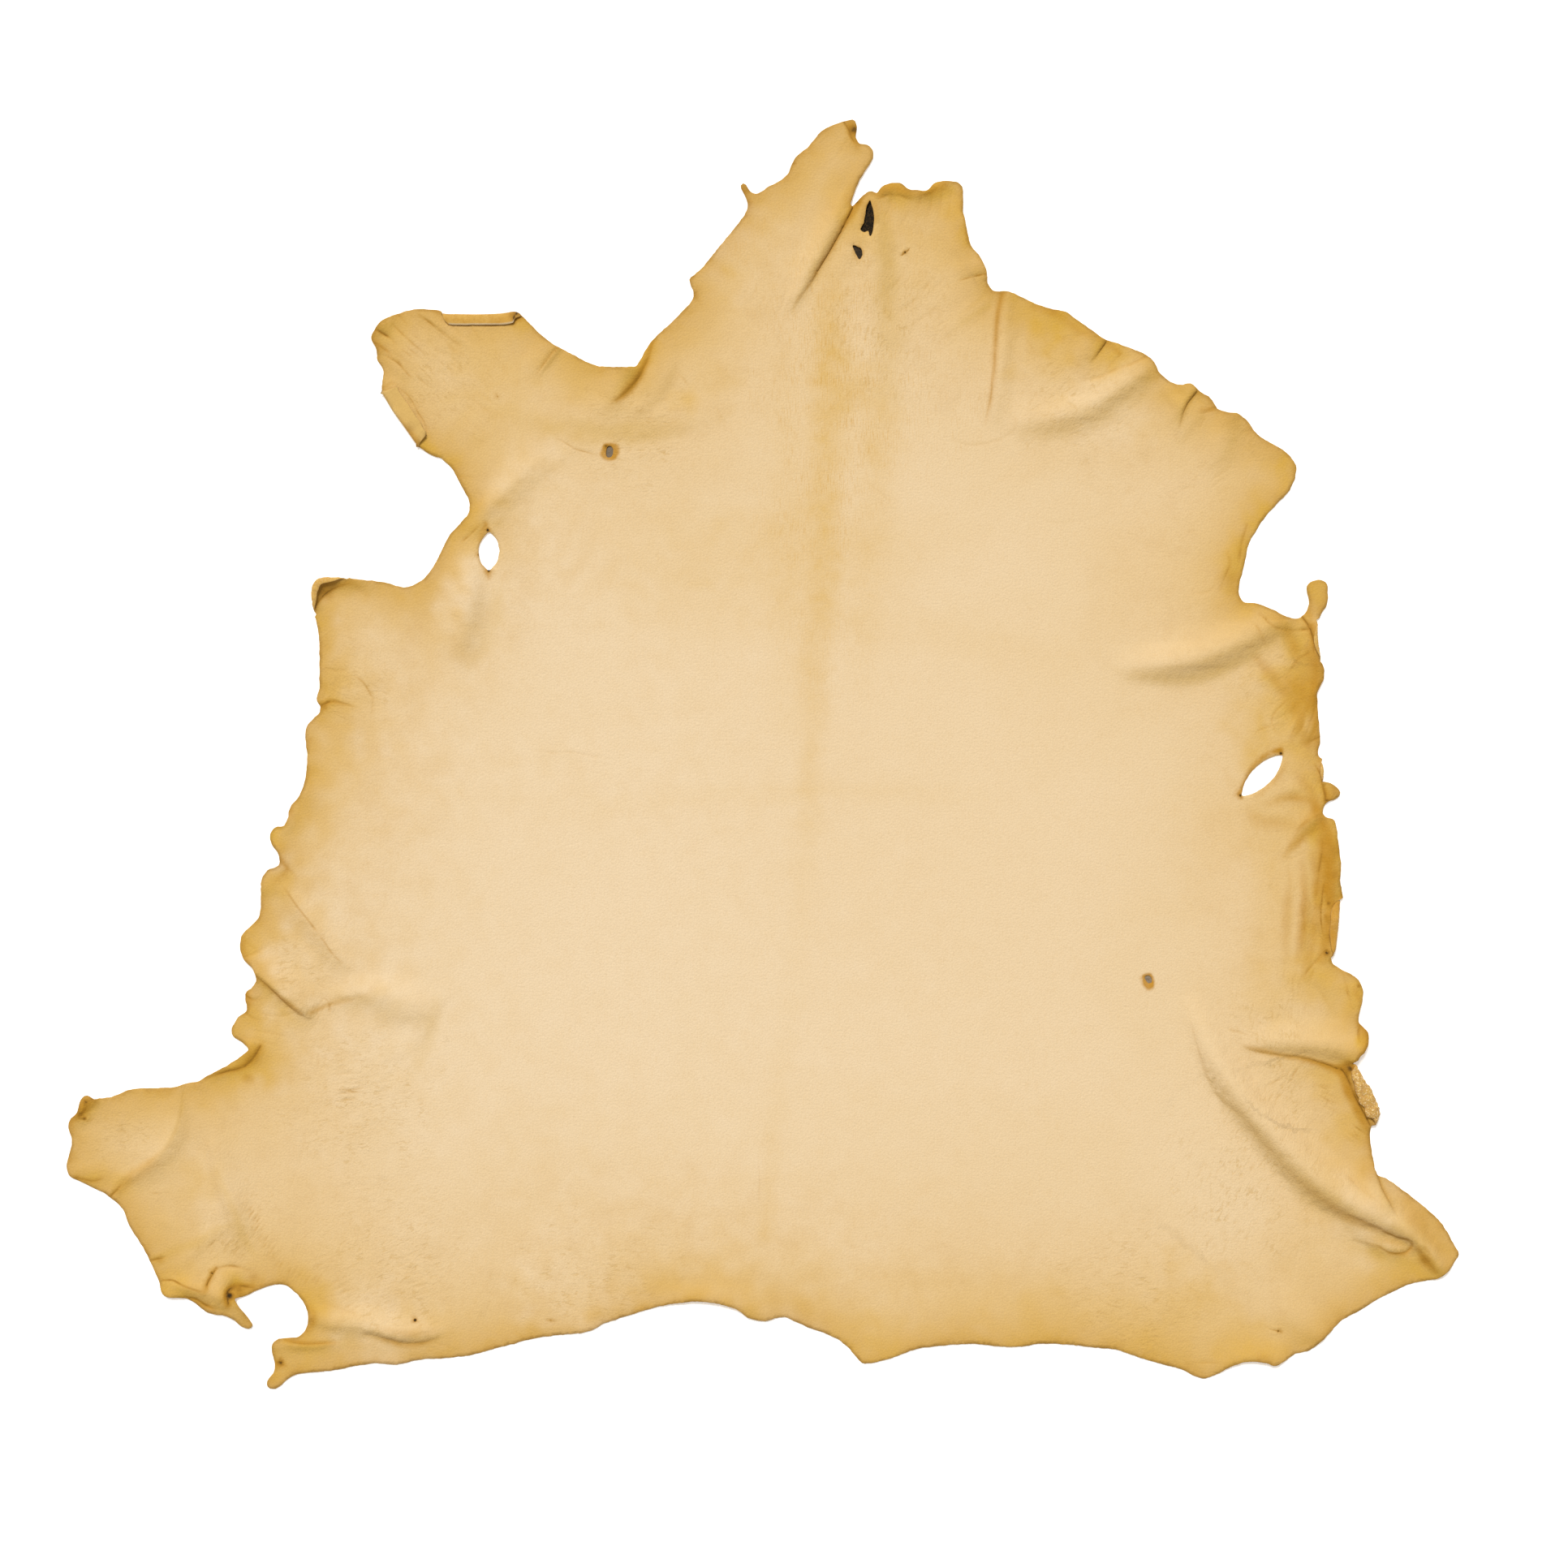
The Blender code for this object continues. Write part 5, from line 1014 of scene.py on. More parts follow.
def hatchCreases():  # each set of fine wrinkles as creases of its own, each a little off the last
    uneven = np.random.default_rng(11)
    fade, halfWidth = 0.15, 1.5
    made = []
    for x, y, run, lie, count, spacing, length, stain, depth in hatches.values():
        along, onward = heading(lie), heading(run)
        for number in range(count):
            slide, reach, bow, deep = uneven.uniform((-0.25, 0.32, -0.09, 0.5), (0.25, 0.6, 0.09, 1.1))
            middle = (x, y) + onward * spacing * (number - (count - 1) / 2) + along * slide * length
            half = along * reach * length
            places = (middle - half, middle + onward * bow * length, middle + half)
            depths = depth * deep * np.array([fade, 1.0, fade])
            made.append((stain * deep, *((*place, down, halfWidth) for place, down in zip(places, depths))))
    return made


def creaseRows(lines):  # mesh rows that follow each crease, lip, ring, small mark and turned edge
    acrossCrease = (-1.0, -0.45, 0.0, 0.45, 1.0)
    acrossLip = (-2.4, -0.8, -0.25, 0.25, 0.9, 1.9, 3.2, 5.0)
    ringShares = (0.66, 0.78, 0.9, 1.02)
    dots = ((0, 1), (0.35, 6), (0.7, 12))  # share of a mark's radius, and how many points go round there
    smallMark, tightTurn = 5, 4
    made = []
    for _, *rows in lines:
        path = smoothPath(rows, step=2.5)
        made += offsetRows(path, path[:, 3], acrossCrease)
    for rows in listed(lips):
        path = smoothPath(rows, step=2.5)
        made += offsetRows(path, np.ones(len(path)), acrossLip)
    for x, y, length, width, lie, _ in rings.values():
        around = np.radians(np.arange(0, 360, 12))
        for share in ringShares:
            loop = (length * np.cos(around) + 1j * width * np.sin(around)) * complex(*heading(lie)) * share
            made.append(np.column_stack([x + loop.real, y + loop.imag]))
    for x, y, radius, _ in listed(marks):
        if radius < smallMark:
            made += [aroundPlace(x, y, share * radius, count) for share, count in dots]
    for turn in turns.values():
        path = foldPath(turn["rows"], step=2.2)
        bend = path[:, 3] * np.radians(path[:, 4])
        steps = 6 if path[:, 3].max() < tightTurn else 11
        made += offsetRows(path, bend, np.linspace(0, 1, steps))
        made += offsetRows(path, np.ones(len(path)), (-1.4,))
        made += offsetRows(path, path[:, 2], (0.86, 0.93))
    return np.vstack(made)


def ridgeSeeds():  # places that ask for a finer mesh, though not for points of their own
    made = []
    for rows in listed(ridges):
        path = smoothPath(rows, step=6)
        for reach, share in ((np.ones(len(path)), 0.0), (path[:, 4], -0.5), (path[:, 3], 0.5)):
            made += offsetRows(path, reach, (share,))
    for x, y, radius, *_ in crimps.values():
        for reach in np.arange(0, 0.72 * radius, 9):
            made.append(aroundPlace(x, y, reach, max(1, round(0.7 * reach))))
    return np.vstack(made)


def treeOf(points):  # for finding the nearest of the points
    tree = kdtree.KDTree(len(points))
    for i, (x, y) in enumerate(points):
        tree.insert((x, y, 0), i)
    tree.balance()
    return tree


def insideRims(points, loops):  # which points lie on leather
    inside = np.zeros(len(points), bool)
    for loop in loops:
        for start, end in zip(loop, np.roll(loop, -1, axis=0)):
            hit = (start[1] > points[:, 1]) != (end[1] > points[:, 1])
            if hit.any():
                run = (points[hit, 1] - start[1]) * (end[0] - start[0]) / (end[1] - start[1])
                inside[hit] ^= points[hit, 0] < start[0] + run
    return inside


def thinned(points, least, blocked):  # which points to keep so that none crowds another
    cells = {}
    kept = []
    for i, (x, y) in enumerate(np.vstack([blocked, points])):
        column, row = int(x // least), int(y // least)
        beside = [(column + across, row + up) for across in (-1, 0, 1) for up in (-1, 0, 1)]
        crowd = [place for cell in beside for place in cells.get(cell, ())]
        if i >= len(blocked) and any((x - p[0]) ** 2 + (y - p[1]) ** 2 < least ** 2 for p in crowd):
            continue
        kept.append(i)
        cells.setdefault((column, row), []).append((x, y))
    return np.array(kept[len(blocked):]) - len(blocked)


def latticePoints(loops, sharp, soft):  # a triangular lattice, coarser far from any detail
    step = hide["fineStep"]
    low, high = loops[0].min(0), loops[0].max(0)
    sharpTree, softTree = treeOf(sharp), treeOf(soft)
    made = []
    for row, y in enumerate(np.arange(low[1], high[1], step * 0.866)):
        cuts = crossings(loops, y)
        for column, x in enumerate(np.arange(low[0], high[0], step)):
            level = next(size for size in (4, 2, 1) if row % size == 0 and column % size == 0)
            x += (row // level) % 2 * step * level / 2
            if np.searchsorted(cuts, x) % 2 == 0:
                continue
            gap = sharpTree.find((x, y, 0))[2]
            near = min(gap, softTree.find((x, y, 0))[2])
            middling = gap < hide["middleReach"] or near < hide["softReach"]
            allowed = 1 if near < hide["fineReach"] else 2 if middling else 4
            if level >= allowed and gap > 0.55 * step * min(level, 1.2):
                made.append((x, y))
    return np.array(made)


def trianglesOf(points, rims):  # a mesh of the points inside the rims, whose points come first
    edges, first = [], 0
    for loop in rims:
        count = len(loop)
        edges += [(first + k, first + (k + 1) % count) for k in range(count)]
        first += count
    made = geometry.delaunay_2d_cdt([Vector(p) for p in points.tolist()], edges, [], 0, 1e-4)
    source = np.array([own[0] if own else -1 for own in made[3]])
    faces = source[np.array([tuple(face) for face in made[2]])]
    faces = faces[(faces >= 0).all(axis=1)]
    rimOnly = (faces < first).all(axis=1)
    keep = np.ones(len(faces), bool)
    keep[rimOnly] = insideRims(points[faces[rimOnly]].mean(axis=1), rims)
    faces = faces[keep]
    one, two = points[faces[:, 1]] - points[faces[:, 0]], points[faces[:, 2]] - points[faces[:, 0]]
    backwards = one[:, 0] * two[:, 1] - one[:, 1] * two[:, 0] < 0
    faces[backwards] = faces[backwards][:, ::-1]
    return faces


def underTriangles(points, faces, rims, turned):  # the same rims, with a coarser mesh between them
    pairs = pairsOf(faces)
    fixed = turned.copy()
    for _ in range(3):
        fixed[pairs[fixed[pairs].any(axis=1)].ravel()] = True
    fixed[:sum(map(len, rims))] = True
    free = np.where(~fixed)[0]
    free = free[thinned(points[free], hide["underStep"], points[fixed])]
    chosen = np.sort(np.concatenate([np.where(fixed)[0], free]))
    return chosen[trianglesOf(points[chosen], rims)]


def flatPattern(lines):  # the flat sheet as points and triangles, with its rim loops
    rims = [smoothLoop(loop, hide["rimStep"]) for loop in solidRims(hideNode)]
    for hole in tornHoles.values():
        own = np.array(hole["rows"], float)
        nearest = min(range(1, len(rims)), key=lambda i: np.linalg.norm(rims[i].mean(0) - own.mean(0)))
        own = smoothLoop(own, hide["holeStep"])
        rims[nearest] = own if loopArea(own) < 0 else own[::-1]
    for i, loop in enumerate(rims):
        growth = hide["rimGrowth"] if i == 0 else 0
        rough = wander(loop, size=5.5, seed=1.7) + 0.6 * wander(loop, size=2.3, seed=8.1)
        rims[i] = loop + loopOut(loop) * (growth + hide["ragged"] * rough)[:, None]
    visible = rims[0]
    rims[0] = turnRim(visible)
    rows = creaseRows(lines)
    rows = rows[insideRims(rows, rims)]
    rimPoints = np.vstack(rims)
    rows = rows[thinned(rows, hide["leastGap"], rimPoints)]
    lattice = latticePoints(rims, np.vstack([rimPoints, rows]), ridgeSeeds())
    points = np.vstack([rimPoints, rows, lattice])
    faces = trianglesOf(points, rims)
    print("pattern:", len(rimPoints), "rim,", len(rows), "crease and", len(lattice), "lattice points")
    return points, faces, rims, visible


def pairsOf(faces):  # both ends of every side of every triangle
    return np.vstack([faces[:, [0, 1]], faces[:, [1, 2]], faces[:, [2, 0]]])


def neighbourLowest(values, faces, passes):  # each value becomes the lowest round it
    pairs = pairsOf(faces)
    for _ in range(passes):
        lowest = values.copy()
        np.minimum.at(lowest, pairs[:, 0], values[pairs[:, 1]])
        np.minimum.at(lowest, pairs[:, 1], values[pairs[:, 0]])
        values = lowest
    return values


def neighbourMean(values, faces, passes, strength=0.6):  # each value moves toward the mean round it
    pairs = pairsOf(faces)
    count = np.bincount(pairs.ravel(), minlength=len(values))
    for _ in range(passes):
        total = np.bincount(pairs[:, 0], values[pairs[:, 1]], len(values))
        total += np.bincount(pairs[:, 1], values[pairs[:, 0]], len(values))
        values = values + strength * (total / np.maximum(count, 1) - values)
    return values


def solidHeights(points):  # the height of the solid's underside
    solid = hideNode.data
    tree = BVHTree.FromPolygons([v.co for v in solid.vertices], [p.vertices for p in solid.polygons])
    heights = np.full(len(points), np.nan)
    for i, (x, y) in enumerate(points):
        hit = tree.ray_cast(Vector((x * mm, y * mm, -1)), Vector((0, 0, 1)))[0]
        if hit:
            heights[i] = hit.z / mm
    found = np.where(~np.isnan(heights))[0]
    known = treeOf(points[found])
    for i in np.where(np.isnan(heights))[0]:
        heights[i] = heights[found[known.find((points[i, 0], points[i, 1], 0))[1]]]
    return heights


def addRidges(points, z):
    for rows in listed(ridges):
        path = smoothPath(rows, step=3.0)
        near = closeTo(points, path, path[:, 3:5].max() + 2)
        gap, side, carried, left, _ = nearestOnPath(points[near], path)
        reach = np.where(side > 0, carried[:, 3], carried[:, 4])
        lee = np.clip(0.5 - side * (left @ lampAlong()), 0, 1)
        z[near] += hide["foldHeight"] * carried[:, 2] * foldProfile(gap / reach, lee)


def addCrimps(points, z):  # fine wrinkles, drawn out along their lie
    stretch, sway, swayLength = 2.6, 0.18, 31.0
    for x, y, radius, height, lie, spacing in crimps.values():
        near = np.where(lengthOf(points - (x, y)) < radius)[0]
        away = points[near] - (x, y)
        along, across = turnedTo(away, lie)
        drawn = np.column_stack([along / stretch, across + sway * along * np.sin(along / swayLength)])
        wave = wander(drawn, size=spacing * 0.8, seed=5.1 + lie / 90.0)
        cross = wander(np.column_stack([along, across / 1.8]), size=spacing * 1.3, seed=2.2)
        fade = bump(lengthOf(away) / radius)
        z[near] += height * fade * (np.abs(wave) * 1.7 + 0.6 * cross)


def drifting(points, size, seed):  # noise in x and in y
    return np.column_stack([wander(points, size, seed), wander(points, size, seed + 3.3)])


def blobs(points, spots, seed):  # soft spots with a wandering edge
    drift = drifting(points, 16.0, seed)
    value = np.zeros(len(points))
    for x, y, radius, strength in spots:
        near = np.where(lengthOf(points - (x, y)) < 1.5 * radius)[0]
        away = points[near] - (x, y) + 0.32 * radius * drift[near]
        share = strength * bump(lengthOf(away) / radius)
        value[near] = 1 - (1 - value[near]) * (1 - share)
    return value


def strokes(points, table, seed):  # soft bands that follow a path
    drift = drifting(points, 19.0, seed)
    uneven = 1 + 0.22 * wander(points, size=11.0, seed=seed + 7.1)
    value = np.zeros(len(points))
    for rows in listed(table):
        path = smoothPath(rows, step=4.0)
        near = closeTo(points, path, path[:, 3].max() + 5)
        moved = points[near] + 0.16 * drift[near] * path[:, 3].mean()
        gap, _, carried, _, _ = nearestOnPath(moved, path)
        share = np.clip(carried[:, 2] * bump(gap / carried[:, 3]) * uneven[near], 0, 1)
        value[near] = 1 - (1 - value[near]) * (1 - share)
    return value


def weaveOf(points):  # texture places, drawn out along the lie of the nearest wrinkled area
    weave, best, stretch = points.copy(), np.zeros(len(points)), 2.5
    for x, y, radius, _, lie, _ in crimps.values():
        away = points - (x, y)
        along, across = turnedTo(away, lie)
        fade = bump(lengthOf(away) / radius)
        near = fade > best
        weave[near] = np.column_stack([along / stretch, across])[near] + (x, y)
        best[near] = fade[near]
    return np.column_stack([weave, np.zeros(len(points))]) * mm


def lampAlong():  # the way to the lamp, seen from above
    return np.array(room["lampFrom"][:2]) / math.hypot(*room["lampFrom"][:2])


def paintedLeeShadeOf(xy, z, faces):  # how much each place leans away from the lamp, for the painted shade on those slopes
    normals = pointNormals(np.column_stack([xy, z]), faces)
    away = -(normals[:, :2] @ lampAlong()) / np.maximum(normals[:, 2], 0.2)
    return neighbourMean(np.clip(away, 0, 1), faces, passes=1)


def pointNormals(places, faces):  # the mean way the triangles round each point face
    a, b, c = (places[faces[:, k]] for k in range(3))
    across = np.cross(b - a, c - a)
    normals = np.zeros_like(places)
    for k in range(3):
        for axis in range(3):
            normals[:, axis] += np.bincount(faces[:, k], across[:, axis], len(places))
    return unit(normals)


def ringMarks(points):  # the stained rings round torn holes
    value = np.zeros(len(points))
    rough = 1 + 0.09 * wander(points, size=4.5, seed=7.7)
    for x, y, length, width, lie, strength in rings.values():
        along, across = turnedTo(points - (x, y), lie)
        inside = 1.0 - np.hypot(along / length, across / width) * rough
        value = np.maximum(value, strength * np.clip(3.8 * inside, 0, 1))
    return value


def addLips(points, xy, z, brown):  # folds that stand up on one side of a line and lean over the other, with painted shadow along the line
    for rows in listed(lips):
        path = smoothPath(rows, step=2.0)
        near = closeTo(points, path, path[:, 3].max() + 2)
        gap, side, carried, left, _ = nearestOnPath(points[near], path)
        height, reach, over = carried[:, 2], carried[:, 3], carried[:, 4]
        high = side > 0
        nose = np.maximum(height, 0.6)
        lift = np.sqrt(np.clip(1 - (1 - np.clip(gap / nose, 0, 1)) ** 2, 0, 1)) * bump(gap / reach)
        z[near] += np.where(high, height * lift, 0)
        push = np.where(high, over * cusp(gap / reach), 0)
        xy[near] -= left * push[:, None]
        # painted shadow: brown along the lip, wider and stronger on the low side it leans over
        mark = np.where(high, 0.5 * bump(gap / 2.4), 0.85 * bump(gap / 4.2))
        brown[near] = np.maximum(brown[near], mark * np.clip(height / 2.2, 0, 1))


def addCreases(points, z, brown, lines):  # raises the shoulders; how deep to press is given back
    waver = np.column_stack([wander(points, size=9.0, seed=12.1), wander(points, size=9.0, seed=15.4)])
    press = np.zeros(len(points))
    for stain, *rows in lines:
        path = smoothPath(rows, step=2.0)
        near = closeTo(points, path, 2.2 * path[:, 3].max() + 2)
        gap, _, carried, _, _ = nearestOnPath(points[near] + 0.35 * waver[near], path)
        uneven = 0.8 + 0.45 * waver[near, 0]
        depth, width = carried[:, 2], carried[:, 3]
        shoulder = 0.4 * depth * np.clip(3.2 - width, 0, 1)
        press[near] = np.maximum(press[near], depth * uneven * cusp(gap / width))
        z[near] += shoulder * bump((gap / width - 1.15) / 0.95)
        fade = np.clip(depth * uneven / 0.9, 0, 1) * cusp(gap / (1.35 * np.minimum(width, 3.2)))
        brown[near] = np.maximum(brown[near], 0.85 * stain * fade)
    for x, y, radius, strength in listed(marks):
        away = points - (x, y) + 0.15 * radius * waver
        mark = 0.8 * strength * bump(lengthOf(away) / radius)
        np.maximum(brown, mark, out=brown)
    return press


def paintOf(points, outerGap, brown, lee):  # what the materials read at each point
    paint = {
        "rimGap": outerGap * mm,
        "brown": brown,
        "gold": 1 - (1 - blobs(points, listed(stains), 21.0)) * (1 - strokes(points, bands, 51.0)),
        "hollow": strokes(points, paintedShadeHollows, 31.0),
        # lee: where the painted shade on slopes away from the lamp goes
        "lee": lee,
        "pale": blobs(points, listed(pales), 41.0),
        "amber": np.maximum(ringMarks(points), strokes(points, ambers, 81.0)),
        "hair": blobs(points, listed(hairs), 61.0),
        "crimp": blobs(points, [(*row[:3], 1.0) for row in crimps.values()], 71.0),
        "weave": weaveOf(points),
    }
    for name in ("turned", "raw", "fuzz", "tone"):
        paint[name] = np.zeros(len(points))
    return paint


def turnOver(points, xy, z, rimGap, paint):  # rolls each strip of edge over onto the sheet beside it
    reach, endGap, laid, rawWidth = 34, 0.01, 1.6, 11.4
    tree = treeOf(points)
    for turn in turns.values():
        path = foldPath(turn["rows"], step=1.5)
        near = closeTo(points, path, reach)
        gap, side, carried, left, place = nearestOnPath(points[near], path)
        good = (side > 0) & (place > endGap) & (place < len(path) - 1 - endGap)
        good &= gap < carried[:, 2] * 1.3 + 1.0
        near, gap, carried, left = near[good], gap[good], carried[good], left[good]
        width, radius, bend, kept = carried[:, 2], carried[:, 3], np.radians(carried[:, 4]), carried[:, 5]
        bent = np.minimum(gap / radius, bend)
        rest = np.maximum(gap - radius * bend, 0)
        out = radius * np.sin(bent) + rest * np.cos(bend)
        up = (radius * (1 - np.cos(bent)) + rest * np.sin(bend)) * kept
        base = z[[tree.find((x, y, 0))[1] for x, y in carried[:, :2]]]
        xy[near] = carried[:, :2] + left * out[:, None]
        under = z[[tree.find((x, y, 0))[1] for x, y in xy[near]]]
        floor = np.where(bent > laid, under + hide["thickness"] + hide["layerGap"] * kept, 0)
        rough = 0.35 * wander(points[near], size=4.5, seed=9.2) * np.clip(rest / 3, 0, 1)
        z[near] = np.maximum(base + up, floor) + np.maximum(rough, -0.1)
        paint["turned"][near] = np.clip(gap / (0.6 * radius * bend), 0, 1)
        paint["lee"][near] = paint["hollow"][near] = 0
        bare = (gap > 0.6 * width) & (width > rawWidth)
        paint["raw"][near] = turn["raw"] * np.clip((0.55 - rimGap[near]) / 0.25, 0, 1) * bare
        paint["fuzz"][near] = turn["fuzz"] * np.clip(gap / 3.0, 0, 1)
        paint["tone"][near] = turn["pale"]


def shapeSheet(points, faces, rims, visible, lines):  # lifts the flat pattern into its folds
    rimGap = distanceTo(points, np.vstack(rims))
    outerGap = distanceTo(points, visible)
    z = neighbourMean(solidHeights(points), faces, hide["smoothing"])
    swell = np.clip(0.5 + 0.5 * wander(points, size=210.0, seed=4.4), 0, 1)
    broad, small = wander(points, size=34.0, seed=6.6), wander(points, size=15.0, seed=2.9)
    crumple = np.maximum(0, broad) + 0.5 * np.maximum(0, small)
    z += hide["swell"] * swell + hide["crumple"] * crumple * np.exp(-outerGap / hide["crumpleReach"])
    addRidges(points, z)
    addCrimps(points, z)
    xy, brown = points.copy(), np.zeros(len(points))
    addLips(points, xy, z, brown)
    press = addCreases(points, z, brown, lines)
    z += hide["thickness"] / 2
    paint = paintOf(points, outerGap, brown, paintedLeeShadeOf(xy, z - press, faces))
    turnOver(points, xy, z, rimGap, paint)
    print("shape:", len(lines), "creases,", len(turns), "turned strips")
    return xy, z, rimGap, paint, press


def distanceTo(points, loop):  # from each point to the nearest of the loop's
    tree = treeOf(loop)
    return np.array([tree.find((x, y, 0))[2] for x, y in points])


def thicken(xy, z, faces, rimGap, press, fuzz, turned):  # grain and flesh faces of the shaped sheet
    middle = np.column_stack([xy, z])
    normals = pointNormals(middle, faces)
    thin = np.sqrt(np.clip(rimGap / 3.0, 0, 1))
    depth = hide["rimThickness"] + (hide["thickness"] - hide["rimThickness"]) * thin
    grain = middle + normals * (depth / 2 - np.minimum(press, 0.75 * depth) * 0.6)[:, None]
    nap = np.array([noise.noise((x / 3.4, y / 3.4, h / 3.4)) for x, y, h in middle]) * 1.9
    nap += np.array([noise.noise((x / 1.7, y / 1.7, h / 1.7 + 9)) for x, y, h in middle])
    flesh = middle - normals * (depth / 2 + fuzz * 0.75 * nap)[:, None]
    lowest = np.minimum(flesh[:, 2], grain[:, 2] - 0.35)
    sunk = lowest + (neighbourLowest(lowest, faces, passes=3) - lowest) * np.clip(rimGap / 2.0 - 0.5, 0, 1)
    lowest = np.where(turned, lowest, sunk)
    upward = normals[:, 2] > 0
    flesh[:, 2] = np.maximum(np.where(upward, lowest, flesh[:, 2]), 0.0)
    grain[:, 2] = np.maximum(grain[:, 2], np.where(upward, flesh[:, 2] + 0.3, 0.0))
    return grain, flesh, normals


def rimEdges(faces):  # edges with one triangle, in the direction that triangle runs them
    runs = pairsOf(faces).tolist()
    known = set(map(tuple, runs))
    return [(a, b) for a, b in runs if (b, a) not in known]


def addHoleShadowLeaves(mesh):  # painted shadow: a closed wavy leaf under each torn hole, standing in for the shade seen through it
    shadowTones = mesh.verts.layers.float.new("innerTone")
    shares, lowest, highest = (1.22, 1.1, 0.9, 0.6, 0.3), 0.05, 0.9
    for number, hole in enumerate(tornHoles.values()):
        loop = np.array(hole["rows"], float)
        centre = loop.mean(0)
        loop = smoothLoop(loop, step=1.6)
        top, low = [], []
        for share in shares:
            ring = centre + (loop - centre) * share
            lift = np.maximum(0.35, 0.75 + 0.55 * wander(ring, size=2.6, seed=11.0 + number))
            top.append([mesh.verts.new((x * mm, y * mm, h * mm)) for (x, y), h in zip(ring, lift)])
            low.append([mesh.verts.new((x * mm, y * mm, lowest * mm)) for x, y in ring])
        for side, up in ((top, True), (low, False)):
            hub = mesh.verts.new((centre[0] * mm, centre[1] * mm, (highest if up else lowest) * mm))
            for outer, inner in zip(side, side[1:]):
                joinRings(mesh, outer, inner, up)
            for near, far in zip(side[-1], side[-1][1:] + side[-1][:1]):
                corner = [near, far, hub]
                mesh.faces.new(corner if up else corner[::-1]).material_index = 2
            for vert in [vert for ring in side for vert in ring] + [hub]:
                vert[shadowTones] = hole["tone"]
        joinRings(mesh, low[0], top[0], True)


def joinRings(mesh, outer, inner, up):  # a band of faces between two loops
    count = len(outer)
    for j in range(count):
        corner = [outer[j], outer[(j + 1) % count], inner[(j + 1) % count], inner[j]]
        face = mesh.faces.new(corner if up else corner[::-1])
        face.material_index = 2
        face.smooth = True


def placed(name, data):  # a new object in the scene
    made = bpy.data.objects.new(name, data)
    bpy.context.scene.collection.objects.link(made)
    return made


def setInputs(node, values):
    for name, value in values.items():
        node.inputs[name].default_value = value


def rimBand(faces, grain, flesh, normals):  # a rounded edge between the grain and the flesh side
    edges = rimEdges(faces)
    after = dict(edges)
    before = {b: a for a, b in edges}
    onRim = sorted(after)
    slot = {one: 2 * len(grain) + k for k, one in enumerate(onRim)}
    run = np.array([grain[after[one]] - grain[before[one]] for one in onRim])
    roundness, leastHeight = 0.3, 0.05
    middle = (grain[onRim] + flesh[onRim]) / 2 + roundness * unit(np.cross(run, normals[onRim]))
    middle[:, 2] = np.maximum(middle[:, 2], leastHeight)
    sides = []
    for a, b in edges:
        sides += [(b, a, slot[a], slot[b]), (slot[b], slot[a], a + len(grain), b + len(grain))]
    return onRim, middle, sides


def addHide():
    lines = listed(creases) + hatchCreases()
    corners, faces, rims, visible = flatPattern(lines)
    xy, z, rimGap, paint, press = shapeSheet(corners, faces, rims, visible, lines)
    turned = paint["turned"] > 0
    grain, flesh, normals = thicken(xy, z, faces, rimGap, press, paint["fuzz"], turned)
    under = underTriangles(corners, faces, rims, turned)
    onRim, middle, sides = rimBand(faces, grain, flesh, normals)
    places = np.vstack([grain, flesh, middle]) * mm
    triangles = [tuple(face) for face in faces.tolist()]
    triangles += [tuple(face) for face in (under[:, ::-1] + len(corners)).tolist()]
    mesh = bpy.data.meshes.new("hideSkin")
    mesh.from_pydata(places.tolist(), [], triangles + sides)
    skin = placed("hideSkin", mesh)
    for name, values in paint.items():
        both = np.concatenate([values, values, values[onRim]]).astype(np.float32)
        kind, field = ("FLOAT", "value") if values.ndim == 1 else ("FLOAT_VECTOR", "vector")
        mesh.attributes.new(name, kind, "POINT").data.foreach_set(field, both.ravel())
    for material in (grainLeather(), fleshLeather(), holeShadowLeather()):
        mesh.materials.append(material)
    index = np.zeros(len(mesh.polygons), np.int32)
    index[len(faces):] = 1
    mesh.polygons.foreach_set("material_index", index)
    mesh.polygons.foreach_set("use_smooth", np.ones(len(mesh.polygons), bool))
    whole = bmesh.new()
    whole.from_mesh(mesh)
    addHoleShadowLeaves(whole)
    bmesh.ops.delete(whole, geom=[v for v in whole.verts if not v.link_faces], context="VERTS")
    whole.to_mesh(mesh)
    whole.free()
    mesh.update()
    total = sum(len(p.vertices) - 2 for p in mesh.polygons)
    print("hide:", total, "triangles, top at", round(places[:, 2].max() / mm, 1), "mm")
    return skin


